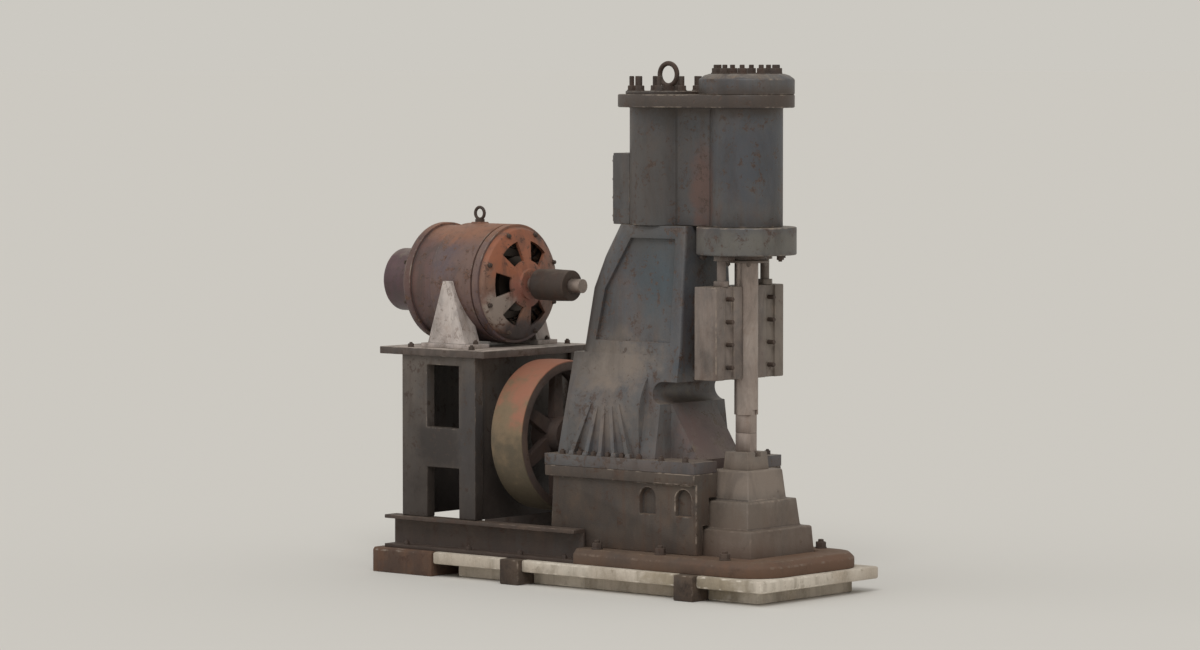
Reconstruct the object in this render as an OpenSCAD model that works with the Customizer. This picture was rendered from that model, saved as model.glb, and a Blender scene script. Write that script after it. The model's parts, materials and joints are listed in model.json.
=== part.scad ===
// Motor-driven forging hammer of the steam hammer pattern, on a low plinth.
// The ram's axis on the ground is the origin. +X points forward, from the motor
// to the ram, +Y to the left and +Z up. All sizes are in millimetres.

/* [Plinth] */
// Height of the plinth's upper face above the ground
plinth_h = 125; // [110:5:160]
// Thickness of the plinth's slab
slab_t = 60; // [40:5:80]
// How far the plinth's foot stands back under its slab
foot_inset = 90; // [40:5:120]
// Width of the plinth
plinth_w = 920; // [900:10:1100]
// Distance from the ram's axis to the plinth's front end
plinth_front = 460; // [450:10:600]
// Distance from the ram's axis to the plinth's rear end
plinth_rear = 1640; // [1600:10:1650]
// Width of the two bearers that lie across the plinth
bearer_w = 120; // [80:5:160]
// How far a bearer's end stands out of the plinth
bearer_out = 25; // [10:5:60]
// Distance of the middle bearer behind the ram's axis
bearer_middle_x = 1110; // [1000:10:1300]
// Length of the rear sill, front to back
sill_l = 400; // [300:10:440]
// Gap between the plinth and the rear sill
sill_gap = 10; // [0:2:20]

/* [Bed] */
// Thickness of the bed plate
bed_t = 76; // [60:2:90]
// Height of the rails
rail_h = 165; // [140:5:180]
// Radius of the bed plate's front corners, seen from above
bed_corner = 190; // [100:10:240]
// Half width of the bed plate between the rails
bed_neck = 325; // [322:1:330]
// Width of the bed plate
bed_w = 860; // [800:10:880]
// Distance from the ram's axis to the bed plate's front edge
bed_front = 430; // [380:5:440]
// Distance from the ram's axis to the wide part's rear end, where the rails begin
bed_back = 740; // [700:10:800]
// Bevel round the bed plate's upper edge
bed_bevel = 26; // [10:2:40]
// Distance from the middle plane to a rail's web
rail_y = 380; // [378:1:386]
// Width of a rail's flanges
rail_w = 90; // [70:5:90]
// Thickness of a rail's flanges
rail_flange_t = 18; // [12:1:24]
// Thickness of a rail's web
rail_web_t = 14; // [8:1:20]
// Distance from the ram's axis to the rails' rear ends
rail_rear = 2000; // [1960:10:2040]

/* [Anvil] */
// Gap between the anvil and the castings round it
anvil_gap = 15; // [8:1:25]
// Slope of each tier's sides, measured at its foot
anvil_batter = 14; // [4:1:20]
// Length of the anvil's lowest tier
tier_a_l = 440; // [420:5:460]
// Width of the anvil's lowest tier
tier_a_w = 480; // [460:5:490]
// Height of the lowest tier's top above the ground
tier_a_top = 327; // [305:2:345]
// Length of the second tier
tier_b_l = 325; // [300:5:350]
// Width of the second tier
tier_b_w = 385; // [360:5:410]
// Height of the second tier's top above the ground
tier_b_top = 460; // [435:5:485]
// Length of the third tier
tier_c_l = 240; // [220:5:260]
// Width of the third tier
tier_c_w = 270; // [250:5:290]
// Height of the third tier's top above the ground
tier_c_top = 605; // [580:5:625]
// Length of the sow block
sow_l = 140; // [134:2:170]
// Width of the sow block
sow_w = 150; // [140:5:180]
// Height of the sow block
sow_h = 85; // [70:5:100]

/* [Dies] */
// Length of both dies, front to back
die_l = 92; // [80:1:96]
// Width of both dies
die_w = 52; // [44:1:54]
// Height of each die's body
die_h = 90; // [70:5:110]
// Height of a die's dovetail foot
die_foot_h = 24; // [18:1:30]
// Width of the dovetail at its neck
die_neck_w = 30; // [24:1:34]
// Slope of the dovetail's sides, sideways over its height
die_flare = 4; // [2:0.5:6]
// Width of the key beside the dovetail
die_key_w = 10; // [6:1:12]
// Gap between the closed dies
die_gap = 0.3; // [0.2:0.1:2]

/* [Ram] */
// Diameter of the ram's rod
rod_d = 116; // [112:1:124]
// Diameter of the ram's piston
piston_d = 280; // [240:5:290]
// Length of the piston
piston_h = 130; // [100:5:160]
// Height of the piston's underside above the cylinder's floor, with the dies closed
piston_rest = 80; // [60:5:100]
// Clearance round the ram in its guide, its gland and its cylinder
slide_gap = 0.3; // [0.2:0.1:0.6]

/* [Head] */
// Height of the column's top, where the head begins
head_z = 1780; // [1765:5:1800]
// Height of the head's barrels up to the top flange
head_h = 575; // [560:5:620]
// Thickness of the head's top flange
head_flange_t = 64; // [50:2:80]
// Distance between the ram cylinder and the compressor cylinder
cylinder_pitch = 490; // [480:5:520]
// Outside radius of the ram cylinder
ram_barrel_r = 176; // [172:1:182]
// Outside radius of the compressor cylinder
rear_barrel_r = 190; // [180:1:200]
// Half width of the web between the two barrels
barrel_web = 118; // [90:2:140]
// Radius of the top flange round the ram cylinder
ram_flange_r = 232; // [220:1:240]
// Radius of the top flange round the compressor cylinder
rear_flange_r = 248; // [235:1:255]
// Height of the ram cylinder's cover
ram_cover_h = 100; // [80:5:120]
// Width of the cover's top bevel
ram_cover_bevel = 26; // [10:2:40]
// Height of the compressor cylinder's cover
rear_cover_h = 16; // [12:1:30]
// Radius of the cover under the ram cylinder
lower_cover_r = 243; // [235:1:244]
// Height of the cover under the ram cylinder
lower_cover_h = 135; // [110:5:140]
// Radius of the gland round the ram
gland_r = 96; // [85:1:105]
// How far the gland hangs below its cover
gland_h = 38; // [25:1:45]
// Half width of the air chest behind the head
chest_half_w = 120; // [90:5:140]
// Depth of the air chest behind the compressor cylinder
chest_l = 63; // [45:1:75]
// Height of the air chest
chest_h = 350; // [300:10:400]
// Thickness of the air chest's lid
chest_lid_t = 14; // [8:1:20]
// Outside radius of the lifting eye
eye_r = 66; // [50:1:70]
// Radius of the lifting eye's bar
eye_bar_r = 12; // [8:1:14]
// Height of the lifting eye's collar
eye_collar_h = 26; // [15:1:30]
// Radius of the lifting eye's collar
eye_collar_r = 34; // [26:1:40]

/* [Column] */
// Half width of the column at its top
column_half_top = 165; // [155:1:175]
// Half width of the column at its waist
column_half_waist = 212; // [200:1:220]
// Half width of the column at its foot
column_half_foot = 300; // [290:1:305]
// Height of the waist, level with the crank housing's top
waist_z = 1150; // [1120:5:1160]
// Distance from the ram's axis to the column's front face
column_front = 245; // [245:1:260]
// Distance from the ram's axis to the column's rear edge at its top
column_back_top = 720; // [700:5:740]
// Distance from the ram's axis to the column's rear edge at its neck
column_back_neck = 870; // [850:5:890]
// Height of the neck, where the rear edge bends
neck_z = 1465; // [1415:10:1505]
// Distance from the ram's axis to the column's rear edge at its waist
column_back_waist = 915; // [900:5:930]
// Distance from the ram's axis to the column's rear edge at its foot
column_back_foot = 960; // [940:5:980]
// Depth of the sunk panel in each side of the column
panel_depth = 22; // [8:1:35]
// Width of the border round the sunk panel
panel_border = 62; // [50:2:75]
// Height of the throat's upper edge
throat_top = 1025; // [1005:5:1035]
// Height of the throat's opening at its back
throat_h = 110; // [90:5:130]
// Distance from the ram's axis to the throat's back
throat_back = 390; // [360:5:400]
// Distance from the ram's axis back to the casting's front ends beside the anvil
shoulder_front = 50; // [40:5:80]
// Half width of the tongue between the throat and the anvil
tongue_half = 165; // [150:1:180]
// Distance from the ram's axis to the tongue's lower end
tongue_front = 165; // [160:1:180]
// Radius of the column's rear corners, seen from above
column_round = 120; // [60:5:150]
// Radius of the column's front corners, seen from above
column_edge = 22; // [10:2:40]

/* [Crank housing] */
// Height of the joint between the column and its pedestal
split_z = 595; // [575:5:610]
// Thickness of each flange at that joint
split_flange_t = 55; // [40:1:60]
// How far the joint flanges stand out
split_flange_out = 40; // [25:1:50]
// Radius of the housing's round top
housing_r = 300; // [290:1:305]
// Height of the round top's centre
housing_z = 850; // [825:5:860]
// Distance from the ram's axis to the housing's rear face
housing_back = 880; // [860:5:900]
// Distance from the ram's axis to the housing's front end
housing_front = 430; // [410:5:450]
// Number of ribs that fan out on each side of the housing
rib_count = 5; // [3:1:7]
// Angle between two ribs
rib_angle = 10; // [6:1:12]
// Thickness of a rib
rib_t = 22; // [12:1:28]
// Width of the sunk arches in the pedestal's sides
arch_w = 100; // [80:2:106]
// Height of the sunk arches
arch_h = 130; // [110:5:150]
// Distance between the two arches of one side
arch_pitch = 225; // [200:5:235]
// Distance from the ram's axis to the middle between them
arch_x = 245; // [235:5:255]
// Height of the arches' sills above the bed plate
arch_lift = 185; // [165:5:195]
// Metal left between an arch and the anvil's room
arch_wall = 20; // [15:1:26]

/* [Guide] */
// Height of the guide's lower end
guide_z = 1045; // [1043:1:1065]
// Height of the guide
guide_h = 450; // [420:5:470]
// Half width of the guide
guide_half_w = 262; // [240:2:270]
// How far the guide reaches in front of the ram's axis
guide_front = 24; // [10:2:40]
// How far the guide reaches behind the ram's axis
guide_back = 112; // [90:2:130]
// Half width of the arm between the guide and the column
arm_half_w = 100; // [80:2:120]
// Height by which the arm is shorter than the guide at each end
arm_inset = 35; // [20:5:60]
// Depth of the upright grooves in each cheek's front
cheek_groove = 14; // [6:1:20]
// Diameter of the stays between the guide and the head
stay_d = 44; // [36:1:50]
// Distance of the stays from the middle plane
stay_y = 168; // [160:1:180]
// Width across flats of the stays' hexagons
stay_hex = 70; // [60:1:80]
// Height of a stay's hexagon
stay_hex_h = 26; // [20:1:32]

/* [Crankshaft and flywheel] */
// Height of the crankshaft's axis
crank_z = 709; // [700:1:725]
// Diameter of the crankshaft in its bearing
crank_d = 90; // [70:1:100]
// Running clearance of the crankshaft, on the radius
shaft_gap = 0.06; // [0.03:0.01:0.1]
// Length of the crankshaft inside the housing
crank_inside = 160; // [120:5:200]
// Outside radius of the rear bearing's flange
bearing_flange_r = 150; // [130:2:165]
// Thickness of the rear bearing's flange
bearing_flange_t = 28; // [20:1:30]
// Outside radius of the rear bearing's barrel
bearing_r = 92; // [80:1:100]
// Length of the rear bearing's barrel behind its flange
bearing_l = 60; // [50:2:66]
// Wall of the bearing's bush
bush_wall = 12; // [8:1:16]
// Radius of the flywheel
wheel_r = 380; // [360:5:382]
// Distance from the ram's axis to the flywheel's middle plane
wheel_x = 1222; // [1215:1:1240]
// Width of the flywheel's rim
rim_w = 200; // [180:2:230]
// Thickness of the flywheel's rim
rim_t = 46; // [36:1:60]
// Rise of the crown across the rim
rim_crown = 5; // [2:0.5:8]
// Radius of the flywheel's hub
hub_r = 92; // [80:1:105]
// Length of the flywheel's hub
hub_l = 170; // [150:5:190]
// Number of the flywheel's spokes
spoke_count = 6; // [5:1:8]
// Width of a spoke at the hub
spoke_w_hub = 76; // [60:2:84]
// Width of a spoke at the rim
spoke_w_rim = 54; // [44:2:60]
// Thickness of a spoke
spoke_t = 46; // [34:2:60]

/* [Motor] */
// Height of the motor's axis
motor_z = 1460; // [1454:1:1475]
// Outside radius of the motor's frame
motor_r = 300; // [285:1:305]
// Distance from the ram's axis to the motor frame's front end
motor_front_x = 1480; // [1470:5:1490]
// Length of the motor's frame
motor_l = 500; // [480:5:520]
// Wall of the motor's frame
motor_wall = 34; // [24:1:40]
// Thickness of the frame's end rings
end_ring_t = 40; // [30:1:50]
// How far the end rings stand out of the frame's barrel
end_ring_out = 14; // [8:1:20]
// Depth of each end shield's dome
shield_depth = 100; // [85:1:110]
// Wall of the end shields
shield_wall = 16; // [12:1:22]
// Radius of the end shields' bearing hubs
shield_hub_r = 78; // [70:1:90]
// Number of windows in each end shield
window_count = 6; // [4:1:8]
// Angle that one window spans
window_angle = 34; // [26:1:40]
// Inside radius of the windows
window_r0 = 120; // [110:1:130]
// Outside radius of the windows
window_r1 = 220; // [200:1:232]
// Outside radius of the rotor
rotor_r = 178; // [160:1:190]
// Air gap between the rotor and the stator's core
air_gap = 5; // [5:0.5:8]
// Length of the stator's core
core_l = 380; // [340:5:400]
// Clearance between the winding's ends and the planes of the frame's ends
coil_gap = 6; // [4:1:15]
// Radius of the slip ring cap
cap_r = 160; // [145:1:172]
// Length of the slip ring cap
cap_l = 190; // [160:5:220]
// Diameter of the motor's shaft
motor_shaft_d = 70; // [55:1:80]
// Radius of the motor's pulley
pulley_r = 80; // [76:1:95]
// Width of the motor's pulley
pulley_w = 220; // [200:5:240]
// How far the shaft's end stands out of the pulley
shaft_out = 70; // [40:5:80]
// Distance from the ram's axis to the middle of the motor's feet
motor_foot_x = 1665; // [1650:5:1700]
// Width of each motor foot at its base
foot_w = 270; // [220:5:300]
// Width of each motor foot at its top
foot_top_w = 50; // [40:2:70]
// Thickness of each motor foot's pad
foot_pad_t = 22; // [16:1:30]
// How far a foot's top reaches above the motor's axis
foot_rise = 18; // [5:1:40]
// How far a foot's pad reaches beyond the motor's side
foot_out = 36; // [26:2:44]
// Outside radius of the motor's lifting eye
motor_eye_r = 38; // [30:1:44]
// Radius of that eye's bar
motor_eye_bar_r = 8; // [6:1:10]
// Height of that eye's collar
motor_eye_collar_h = 14; // [10:1:20]
// Half width of the flat pad under that eye
eye_pad_half = 32; // [28:1:40]
// How far the pad stands above the motor's rings
eye_pad_h = 6; // [4:1:12]
// Clearance at the round seats of fixed pieces
seat_gap = 0.3; // [0.1:0.1:0.6]

/* [Motor stand] */
// Height of the motor table's upper face
table_z = 1141; // [1125:2:1149]
// Thickness of the motor table
table_t = 36; // [24:2:50]
// Distance from the ram's axis to the table's front edge
table_front = 1330; // [1325:5:1350]
// Distance from the ram's axis to the table's rear edge
table_rear = 2035; // [2010:5:2080]
// Half width of the motor table
table_half_w = 420; // [400:2:440]
// Distance from the ram's axis to the stand's front side
stand_front = 1410; // [1405:5:1440]
// Distance from the ram's axis to the stand's rear side
stand_rear = 1905; // [1880:5:1940]
// Distance from the middle plane to the outside of the stand
stand_half_w = 396; // [392:1:400]
// Thickness of the stand's side frames
stand_t = 60; // [40:2:70]
// Width of the stand's rear leg
leg_rear_w = 170; // [130:5:190]
// Width of the stand's front leg
leg_front_w = 110; // [90:5:130]
// Height of the side frames' middle rail above the ground
stand_rail_z = 545; // [505:10:585]
// Height of that middle rail
stand_rail_h = 200; // [160:10:220]
// Height of the side frames' top rail
stand_top_h = 46; // [30:2:60]
// Thickness of the stand's end plates
stand_plate_t = 14; // [8:1:20]

/* [Hidden] */
$fn = 96;
EPS = 0.01;

bed_z = plinth_h + bed_t;
rail_z = plinth_h + rail_h;
neck_end = column_back_foot + split_flange_out + 20;
sow_top = tier_c_top + sow_h;
die_face = sow_top + die_h;
ram_foot = die_face + die_gap + die_h;
head_flange_z = head_z + head_h;
head_top = head_flange_z + head_flange_t;
lower_cover_z = head_z - lower_cover_h;
guide_top = guide_z + guide_h;
rod_r = rod_d / 2;
bore_r = piston_d / 2 + slide_gap;
piston_z = head_z + piston_rest;
throat_r = throat_h / 2;
panel_rear = column_round + 12;
shaft_steps = 8;
throat_mid = throat_top - throat_r;
lip_x = throat_r - throat_back;
boss_x = column_back_foot + split_flange_out;
bearing_x = boss_x + bearing_flange_t + bearing_l;
bush_r = crank_d / 2 + bush_wall;
motor_rear_x = motor_front_x + motor_l;
motor_mid_x = motor_front_x + motor_l / 2;
core_r = motor_r - motor_wall - seat_gap;
coil_out = (motor_l - core_l) / 2 - coil_gap;
eye_pad_z = motor_z + motor_r + eye_pad_h;
worn_steel = "#7c706a";

// A prism whose outline lies in the XZ plane, between two places on Y
module prism_xz(points, y0, y1) {
    translate([0, y1, 0]) rotate([90, 0, 0]) linear_extrude(y1 - y0) polygon(points);
}

// A prism whose outline lies in the YZ plane, between two places on X
module prism_yz(points, x0, x1) {
    translate([x0, 0, 0]) rotate([90, 0, 90]) linear_extrude(x1 - x0) polygon(points);
}

// A block given by its lowest and highest corners
module block(low, high) {
    translate(low) cube(high - low);
}

// A round bar along X, at a height, between two places
module bar_x(r, x0, x1, z) {
    translate([x0, 0, z]) rotate([0, 90, 0]) cylinder(r = r, h = x1 - x0);
}

// A body turned about an axis along X, whose outline is given as [radius, x]
module turned_x(points, z) {
    translate([0, 0, z]) rotate([0, 90, 0]) rotate_extrude() polygon(points);
}

// A block whose four sides slope in towards its top
module battered_block(l, w, z0, z1, batter) {
    intersection() {
        prism_xz([[-l / 2 - batter, z0], [l / 2 + batter, z0], [l / 2, z1], [-l / 2, z1]],
                 -w, w);
        prism_yz([[-w / 2 - batter, z0], [w / 2 + batter, z0], [w / 2, z1], [-w / 2, z1]],
                 -l, l);
    }
}

// The outline of a dovetail foot with its key, in YZ, from a face downwards
function dovetail(gap) = [
    [-die_neck_w / 2 - gap, die_foot_h + EPS],
    [-die_neck_w / 2 - die_flare - gap, -gap],
    [die_neck_w / 2 + die_flare + die_key_w + gap, -gap],
    [die_neck_w / 2 + die_key_w + gap, die_foot_h + EPS]];

module die_foot() {
    prism_yz([[-die_neck_w / 2, die_foot_h], [-die_neck_w / 2 - die_flare, 0],
              [die_neck_w / 2 + die_flare, 0], [die_neck_w / 2, die_foot_h]],
             -die_l / 2, die_l / 2);
}

module die_key() {
    prism_yz([[die_neck_w / 2, die_foot_h], [die_neck_w / 2 + die_flare, 0],
              [die_neck_w / 2 + die_flare + die_key_w, 0],
              [die_neck_w / 2 + die_key_w, die_foot_h]],
             -die_l / 2, die_l / 2 + die_key_w / 2);
}

module die_slot(l) {
    prism_yz(dovetail(0), -l, l);
}

// A concrete slab on a recessed foot, with a slot for each bearer
module plinth() {
    half = plinth_w / 2;
    under = plinth_h - slab_t;
    color("#b3a898") difference() {
        union() {
            block([-plinth_rear, -half, under], [plinth_front, half, plinth_h]);
            block([-plinth_rear + foot_inset, -half + foot_inset, 0],
                  [plinth_front - foot_inset, half - foot_inset, under + EPS]);
        }
        for (x = [0, -bearer_middle_x])
            block([x - bearer_w / 2, -plinth_w, -1], [x + bearer_w / 2, plinth_w, plinth_h + 1]);
    }
}

module bearer(x) {
    half = plinth_w / 2 + bearer_out;
    color("#453629")
        block([x - bearer_w / 2, -half, 0], [x + bearer_w / 2, half, plinth_h]);
}
module bearer_front() { bearer(0); }
module bearer_middle() { bearer(-bearer_middle_x); }

// A wide sill that carries the rails' rear ends
module rear_sill() {
    x1 = -plinth_rear - sill_gap;
    half = plinth_w / 2;
    color("#6e4c38") prism_yz([[-half, 0], [half, 0], [half, plinth_h - 12],
                               [half - 12, plinth_h], [12 - half, plinth_h],
                               [-half, plinth_h - 12]], x1 - sill_l, x1);
}

// The bed plate, with round front corners, bevelled upper edges and a hole for the anvil
module bed_plate() {
    half = bed_w / 2;
    edge = bed_z - bed_bevel;
    x1 = bed_front - bed_corner;
    y1 = half - bed_corner;
    hole = [tier_a_l / 2 + anvil_batter + anvil_gap, tier_a_w / 2 + anvil_batter + anvil_gap];
    color("#584638") difference() {
        union() {
            prism_yz([[-half, plinth_h], [half, plinth_h], [half, edge], [half - bed_bevel, bed_z],
                      [bed_bevel - half, bed_z], [-half, edge]], -bed_back, x1);
            prism_xz([[x1 - 1, plinth_h], [bed_front, plinth_h], [bed_front, edge],
                      [bed_front - bed_bevel, bed_z], [x1 - 1, bed_z]], -y1, y1);
            for (side = [-1, 1]) translate([x1, side * y1, 0]) rotate_extrude()
                polygon([[0, plinth_h], [bed_corner, plinth_h], [bed_corner, edge],
                         [bed_corner - bed_bevel, bed_z], [0, bed_z]]);
            block([-neck_end, -bed_neck, plinth_h], [-bed_back + 1, bed_neck, bed_z]);
        }
        block([-hole[0], -hole[1], 0], [hole[0], hole[1], bed_z + 1]);
    }
}

// A rolled channel with its open side outwards
module rail(side) {
    inner = rail_y - rail_w / 2;
    outer = rail_y + rail_w / 2;
    color("#4c3a30") mirror([0, side < 0 ? 1 : 0, 0])
        prism_yz([[inner, plinth_h], [outer, plinth_h], [outer, plinth_h + rail_flange_t],
                  [inner + rail_web_t, plinth_h + rail_flange_t],
                  [inner + rail_web_t, rail_z - rail_flange_t],
                  [outer, rail_z - rail_flange_t], [outer, rail_z], [inner, rail_z]],
                 -rail_rear, -bed_back);
}
module rail_right() { rail(-1); }
module rail_left() { rail(1); }

module anvil_block() {
    color("#5b5148") {
        battered_block(tier_a_l, tier_a_w, plinth_h, tier_a_top, anvil_batter);
        battered_block(tier_b_l, tier_b_w, tier_a_top - EPS, tier_b_top, anvil_batter);
        battered_block(tier_c_l, tier_c_w, tier_b_top - EPS, tier_c_top, anvil_batter);
    }
}

module sow_block() {
    color("#55493f") difference() {
        battered_block(sow_l, sow_w, tier_c_top, sow_top, anvil_batter / 2);
        translate([0, 0, sow_top - die_foot_h]) die_slot(sow_l);
    }
}

module lower_die() {
    color(worn_steel) {
        translate([0, 0, sow_top - die_foot_h]) die_foot();
        block([-die_l / 2, -die_w / 2, sow_top], [die_l / 2, die_w / 2, die_face]);
    }
}
module lower_die_key() {
    color(worn_steel) translate([0, 0, sow_top - die_foot_h]) die_key();
}

module upper_die() {
    color(worn_steel) {
        block([-die_l / 2, -die_w / 2, die_face + die_gap], [die_l / 2, die_w / 2, ram_foot]);
        translate([0, 0, ram_foot + die_foot_h]) mirror([0, 0, 1]) die_foot();
    }
}
module upper_die_key() {
    color(worn_steel)
        translate([0, 0, ram_foot + die_foot_h]) mirror([0, 0, 1]) die_key();
}

// Rod and piston in one forging, cut at its foot for the upper die's dovetail
module ram() {
    color(worn_steel) difference() {
        union() {
            translate([0, 0, ram_foot]) cylinder(r = rod_r, h = piston_z - ram_foot + EPS);
            translate([0, 0, piston_z]) cylinder(d = piston_d, h = piston_h);
        }
        translate([0, 0, ram_foot + die_foot_h]) mirror([0, 0, 1]) die_slot(rod_d);
    }
}

// The room that the anvil needs in the castings round it
module anvil_room() {
    reach = anvil_batter + anvil_gap;
    for (tier = [[tier_a_l, tier_a_w, 0, tier_a_top], [tier_b_l, tier_b_w, 0, tier_b_top],
                 [tier_c_l, tier_c_w, 0, tier_c_top], [sow_l, sow_w, 0, sow_top]])
        block([-tier[0] / 2 - reach, -tier[1] / 2 - reach, tier[2]],
              [bed_front, tier[1] / 2 + reach, tier[3] + anvil_gap]);
    block([-tier_c_l / 2 - reach, -tier_c_w / 2 - reach, tier_c_top],
          [bed_front, tier_c_w / 2 + reach, head_z]);
}

// The plates of the joint between the column and its pedestal
module split_flange(z0, z1) {
    half = column_half_foot + split_flange_out;
    block([-column_back_foot - split_flange_out, -half, z0], [-shoulder_front, half, z1]);
}

// Two arch-shaped sinks in each side of the pedestal
module side_arches() {
    r = arch_w / 2;
    outside = column_half_foot + 30;
    bottom = tier_a_w / 2 + anvil_batter + anvil_gap + arch_wall;
    for (side = [0, 1], k = [-0.5, 0.5])
        mirror([0, side, 0]) translate([k * arch_pitch - arch_x, outside, bed_z + arch_lift])
            rotate([90, 0, 0]) linear_extrude(outside - bottom) {
                translate([-r, 0]) square([arch_w, arch_h - r]);
                translate([0, arch_h - r]) circle(r = r);
            }
}

module pedestal() {
    half = column_half_foot + 20;
    color("#50453d") difference() {
        union() {
            prism_xz([[-column_back_foot - 20, bed_z], [-shoulder_front, bed_z],
                      [-shoulder_front, split_z], [-column_back_foot, split_z]],
                     -half, half);
            split_flange(split_z - split_flange_t, split_z);
        }
        anvil_room();
        side_arches();
    }
}

// The side view of the column's foot, from the joint up to the waist
function column_outline() = [
    [-column_back_foot, split_z],
    [-column_back_waist, waist_z],
    [-column_front, waist_z],
    [-column_front, throat_top],
    for (a = [90:15:270]) [lip_x + throat_r * cos(a), throat_mid + throat_r * sin(a)],
    [lip_x, split_z]];

// The sunk panel's side view, inside the column's own
function panel_outline() = [
    [-column_back_waist + panel_rear, waist_z + panel_border],
    [-column_back_neck + panel_rear, neck_z],
    [-column_back_top + panel_rear, head_z - panel_border],
    [-column_front - panel_border, head_z - panel_border],
    [-column_front - panel_border, waist_z + panel_border]];

module column_panels() {
    for (side = [-1, 1]) mirror([0, side < 0 ? 1 : 0, 0])
        intersection() {
            prism_xz(panel_outline(), 0, 2 * column_half_waist);
            prism_yz([[column_half_waist - panel_depth, waist_z],
                      [column_half_top - panel_depth, head_z],
                      [2 * column_half_waist, head_z], [2 * column_half_waist, waist_z]],
                     -column_back_foot, 0);
        }
}

// The housing's cross section: straight sides under a round top
function housing_outline() = [
    [-housing_r, split_z], [housing_r, split_z],
    for (a = [0:7.5:180]) [housing_r * cos(a), housing_z + housing_r * sin(a)]];

// Ribs that fan out from the round top of the housing to the joint flange
module housing_ribs() {
    fan_z = housing_z + housing_r;
    rib_top = fan_z - housing_z - 40;
    foot = fan_z - split_z - split_flange_t / 2;
    for (side = [-1, 1], k = [0:rib_count - 1])
        translate([-(housing_back + housing_front) / 2, 0, fan_z])
            rotate([0, (k - (rib_count - 1) / 2) * rib_angle, 0])
                translate([-rib_t / 2, 0, 0]) mirror([0, side < 0 ? 1 : 0, 0])
                    prism_yz([[housing_r - 60, -rib_top], [housing_r - EPS, -rib_top],
                              [column_half_foot + split_flange_out - 6, -foot],
                              [housing_r - 60, -foot]], 0, rib_t);
}

// One level of the column's shaft seen from above, with all its corners rounded
function shaft_ring(z, back, half) = [
    for (corner = [[-back + column_round, half - column_round, column_round, 90],
                   [-back + column_round, column_round - half, column_round, 180],
                   [-column_front - column_edge, column_edge - half, column_edge, 270],
                   [-column_front - column_edge, half - column_edge, column_edge, 0]])
        for (i = [0:shaft_steps])
            let (a = corner[3] + i * 90 / shaft_steps)
                [corner[0] + corner[2] * cos(a), corner[1] + corner[2] * sin(a), z]];

// The shaft above the crank housing, through rings at its bends
module column_shaft() {
    bend_z = (neck_z + head_z) / 2;
    bend_back = (column_back_neck + column_back_top) / 2 + 12;
    part = (neck_z - waist_z) / (head_z - waist_z);
    neck_half = column_half_waist + part * (column_half_top - column_half_waist);
    rings = [shaft_ring(waist_z, column_back_waist, column_half_waist),
             shaft_ring(neck_z, column_back_neck, neck_half),
             shaft_ring(bend_z, bend_back, (neck_half + column_half_top) / 2),
             shaft_ring(head_z, column_back_top, column_half_top)];
    n = len(rings[0]);
    polyhedron([for (ring = rings) each ring], concat(
        [[for (i = [0:n - 1]) i]], [[for (i = [n - 1:-1:0]) 3 * n + i]],
        [for (k = [0:2], i = [0:n - 1])
            [k * n + i, (k + 1) * n + i, k * n + (i + 1) % n]],
        [for (k = [0:2], i = [0:n - 1])
            [k * n + (i + 1) % n, (k + 1) * n + i, (k + 1) * n + (i + 1) % n]]));
}

// The steep tongue behind the anvil, from the throat's lip down to the joint flange
module column_tongue() {
    top = split_z + split_flange_t;
    prism_xz([[lip_x - 60, split_z], [-tongue_front, split_z], [-tongue_front, top],
              [lip_x, throat_mid - throat_r], [lip_x - 60, throat_mid - throat_r]],
             -tongue_half, tongue_half);
}

module column() {
    color("#504d4e") difference() {
        union() {
            intersection() {
                prism_xz(column_outline(), -column_half_foot, column_half_foot);
                prism_yz([[-column_half_foot, split_z], [column_half_foot, split_z],
                          [column_half_waist, waist_z], [-column_half_waist, waist_z]],
                         -column_back_foot - 1, 0);
            }
            column_shaft();
            column_tongue();
            prism_yz(housing_outline(), -housing_back, -housing_front);
            intersection() {
                bar_x(bearing_flange_r + 8, -boss_x, -housing_back, crank_z);
                block([-boss_x, -housing_r, split_z], [-housing_back, housing_r, waist_z]);
            }
            split_flange(split_z, split_z + split_flange_t);
            housing_ribs();
        }
        column_panels();
        anvil_room();
        bar_x(bush_r + seat_gap, -boss_x - 1, -boss_x + crank_inside + 20, crank_z);
    }
}

// A guide open at its front, with grooved cheeks and an arm to the column
module ram_guide() {
    r = rod_r + slide_gap;
    cheek_mid = (guide_half_w + r) / 2;
    color("#554a46") difference() {
        union() {
            block([-guide_back, -guide_half_w, guide_z], [guide_front, guide_half_w, guide_top]);
            block([-column_front, -arm_half_w, guide_z + arm_inset],
                  [-guide_back + 1, arm_half_w, guide_top - arm_inset]);
        }
        translate([0, 0, guide_z - 1]) cylinder(r = r, h = guide_h + 2);
        block([0, -r, guide_z - 1], [guide_front + 1, r, guide_top + 1]);
        for (side = [-1, 1])
            block([guide_front - cheek_groove, side * cheek_mid - 34, guide_z - 1],
                  [guide_front + 1, side * cheek_mid + 34, guide_top + 1]);
    }
}

// A round stay with a hexagon at each end
module guide_stay(side) {
    color("#6a625d") translate([-20, side * stay_y, guide_top]) {
        cylinder(d = stay_d, h = lower_cover_z - guide_top);
        cylinder(d = stay_hex / cos(30), h = stay_hex_h, $fn = 6);
        translate([0, 0, lower_cover_z - guide_top - stay_hex_h])
            cylinder(d = stay_hex / cos(30), h = stay_hex_h, $fn = 6);
    }
}
module guide_stay_right() { guide_stay(-1); }
module guide_stay_left() { guide_stay(1); }

module lower_cover() {
    color("#565150") difference() {
        intersection() {
            translate([0, 0, lower_cover_z]) cylinder(r = lower_cover_r, h = lower_cover_h);
            block([-column_front + 1, -lower_cover_r, lower_cover_z],
                  [lower_cover_r, lower_cover_r, head_z]);
        }
        translate([0, 0, lower_cover_z - 1])
            cylinder(r = rod_r + slide_gap, h = lower_cover_h + 2);
    }
}

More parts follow.
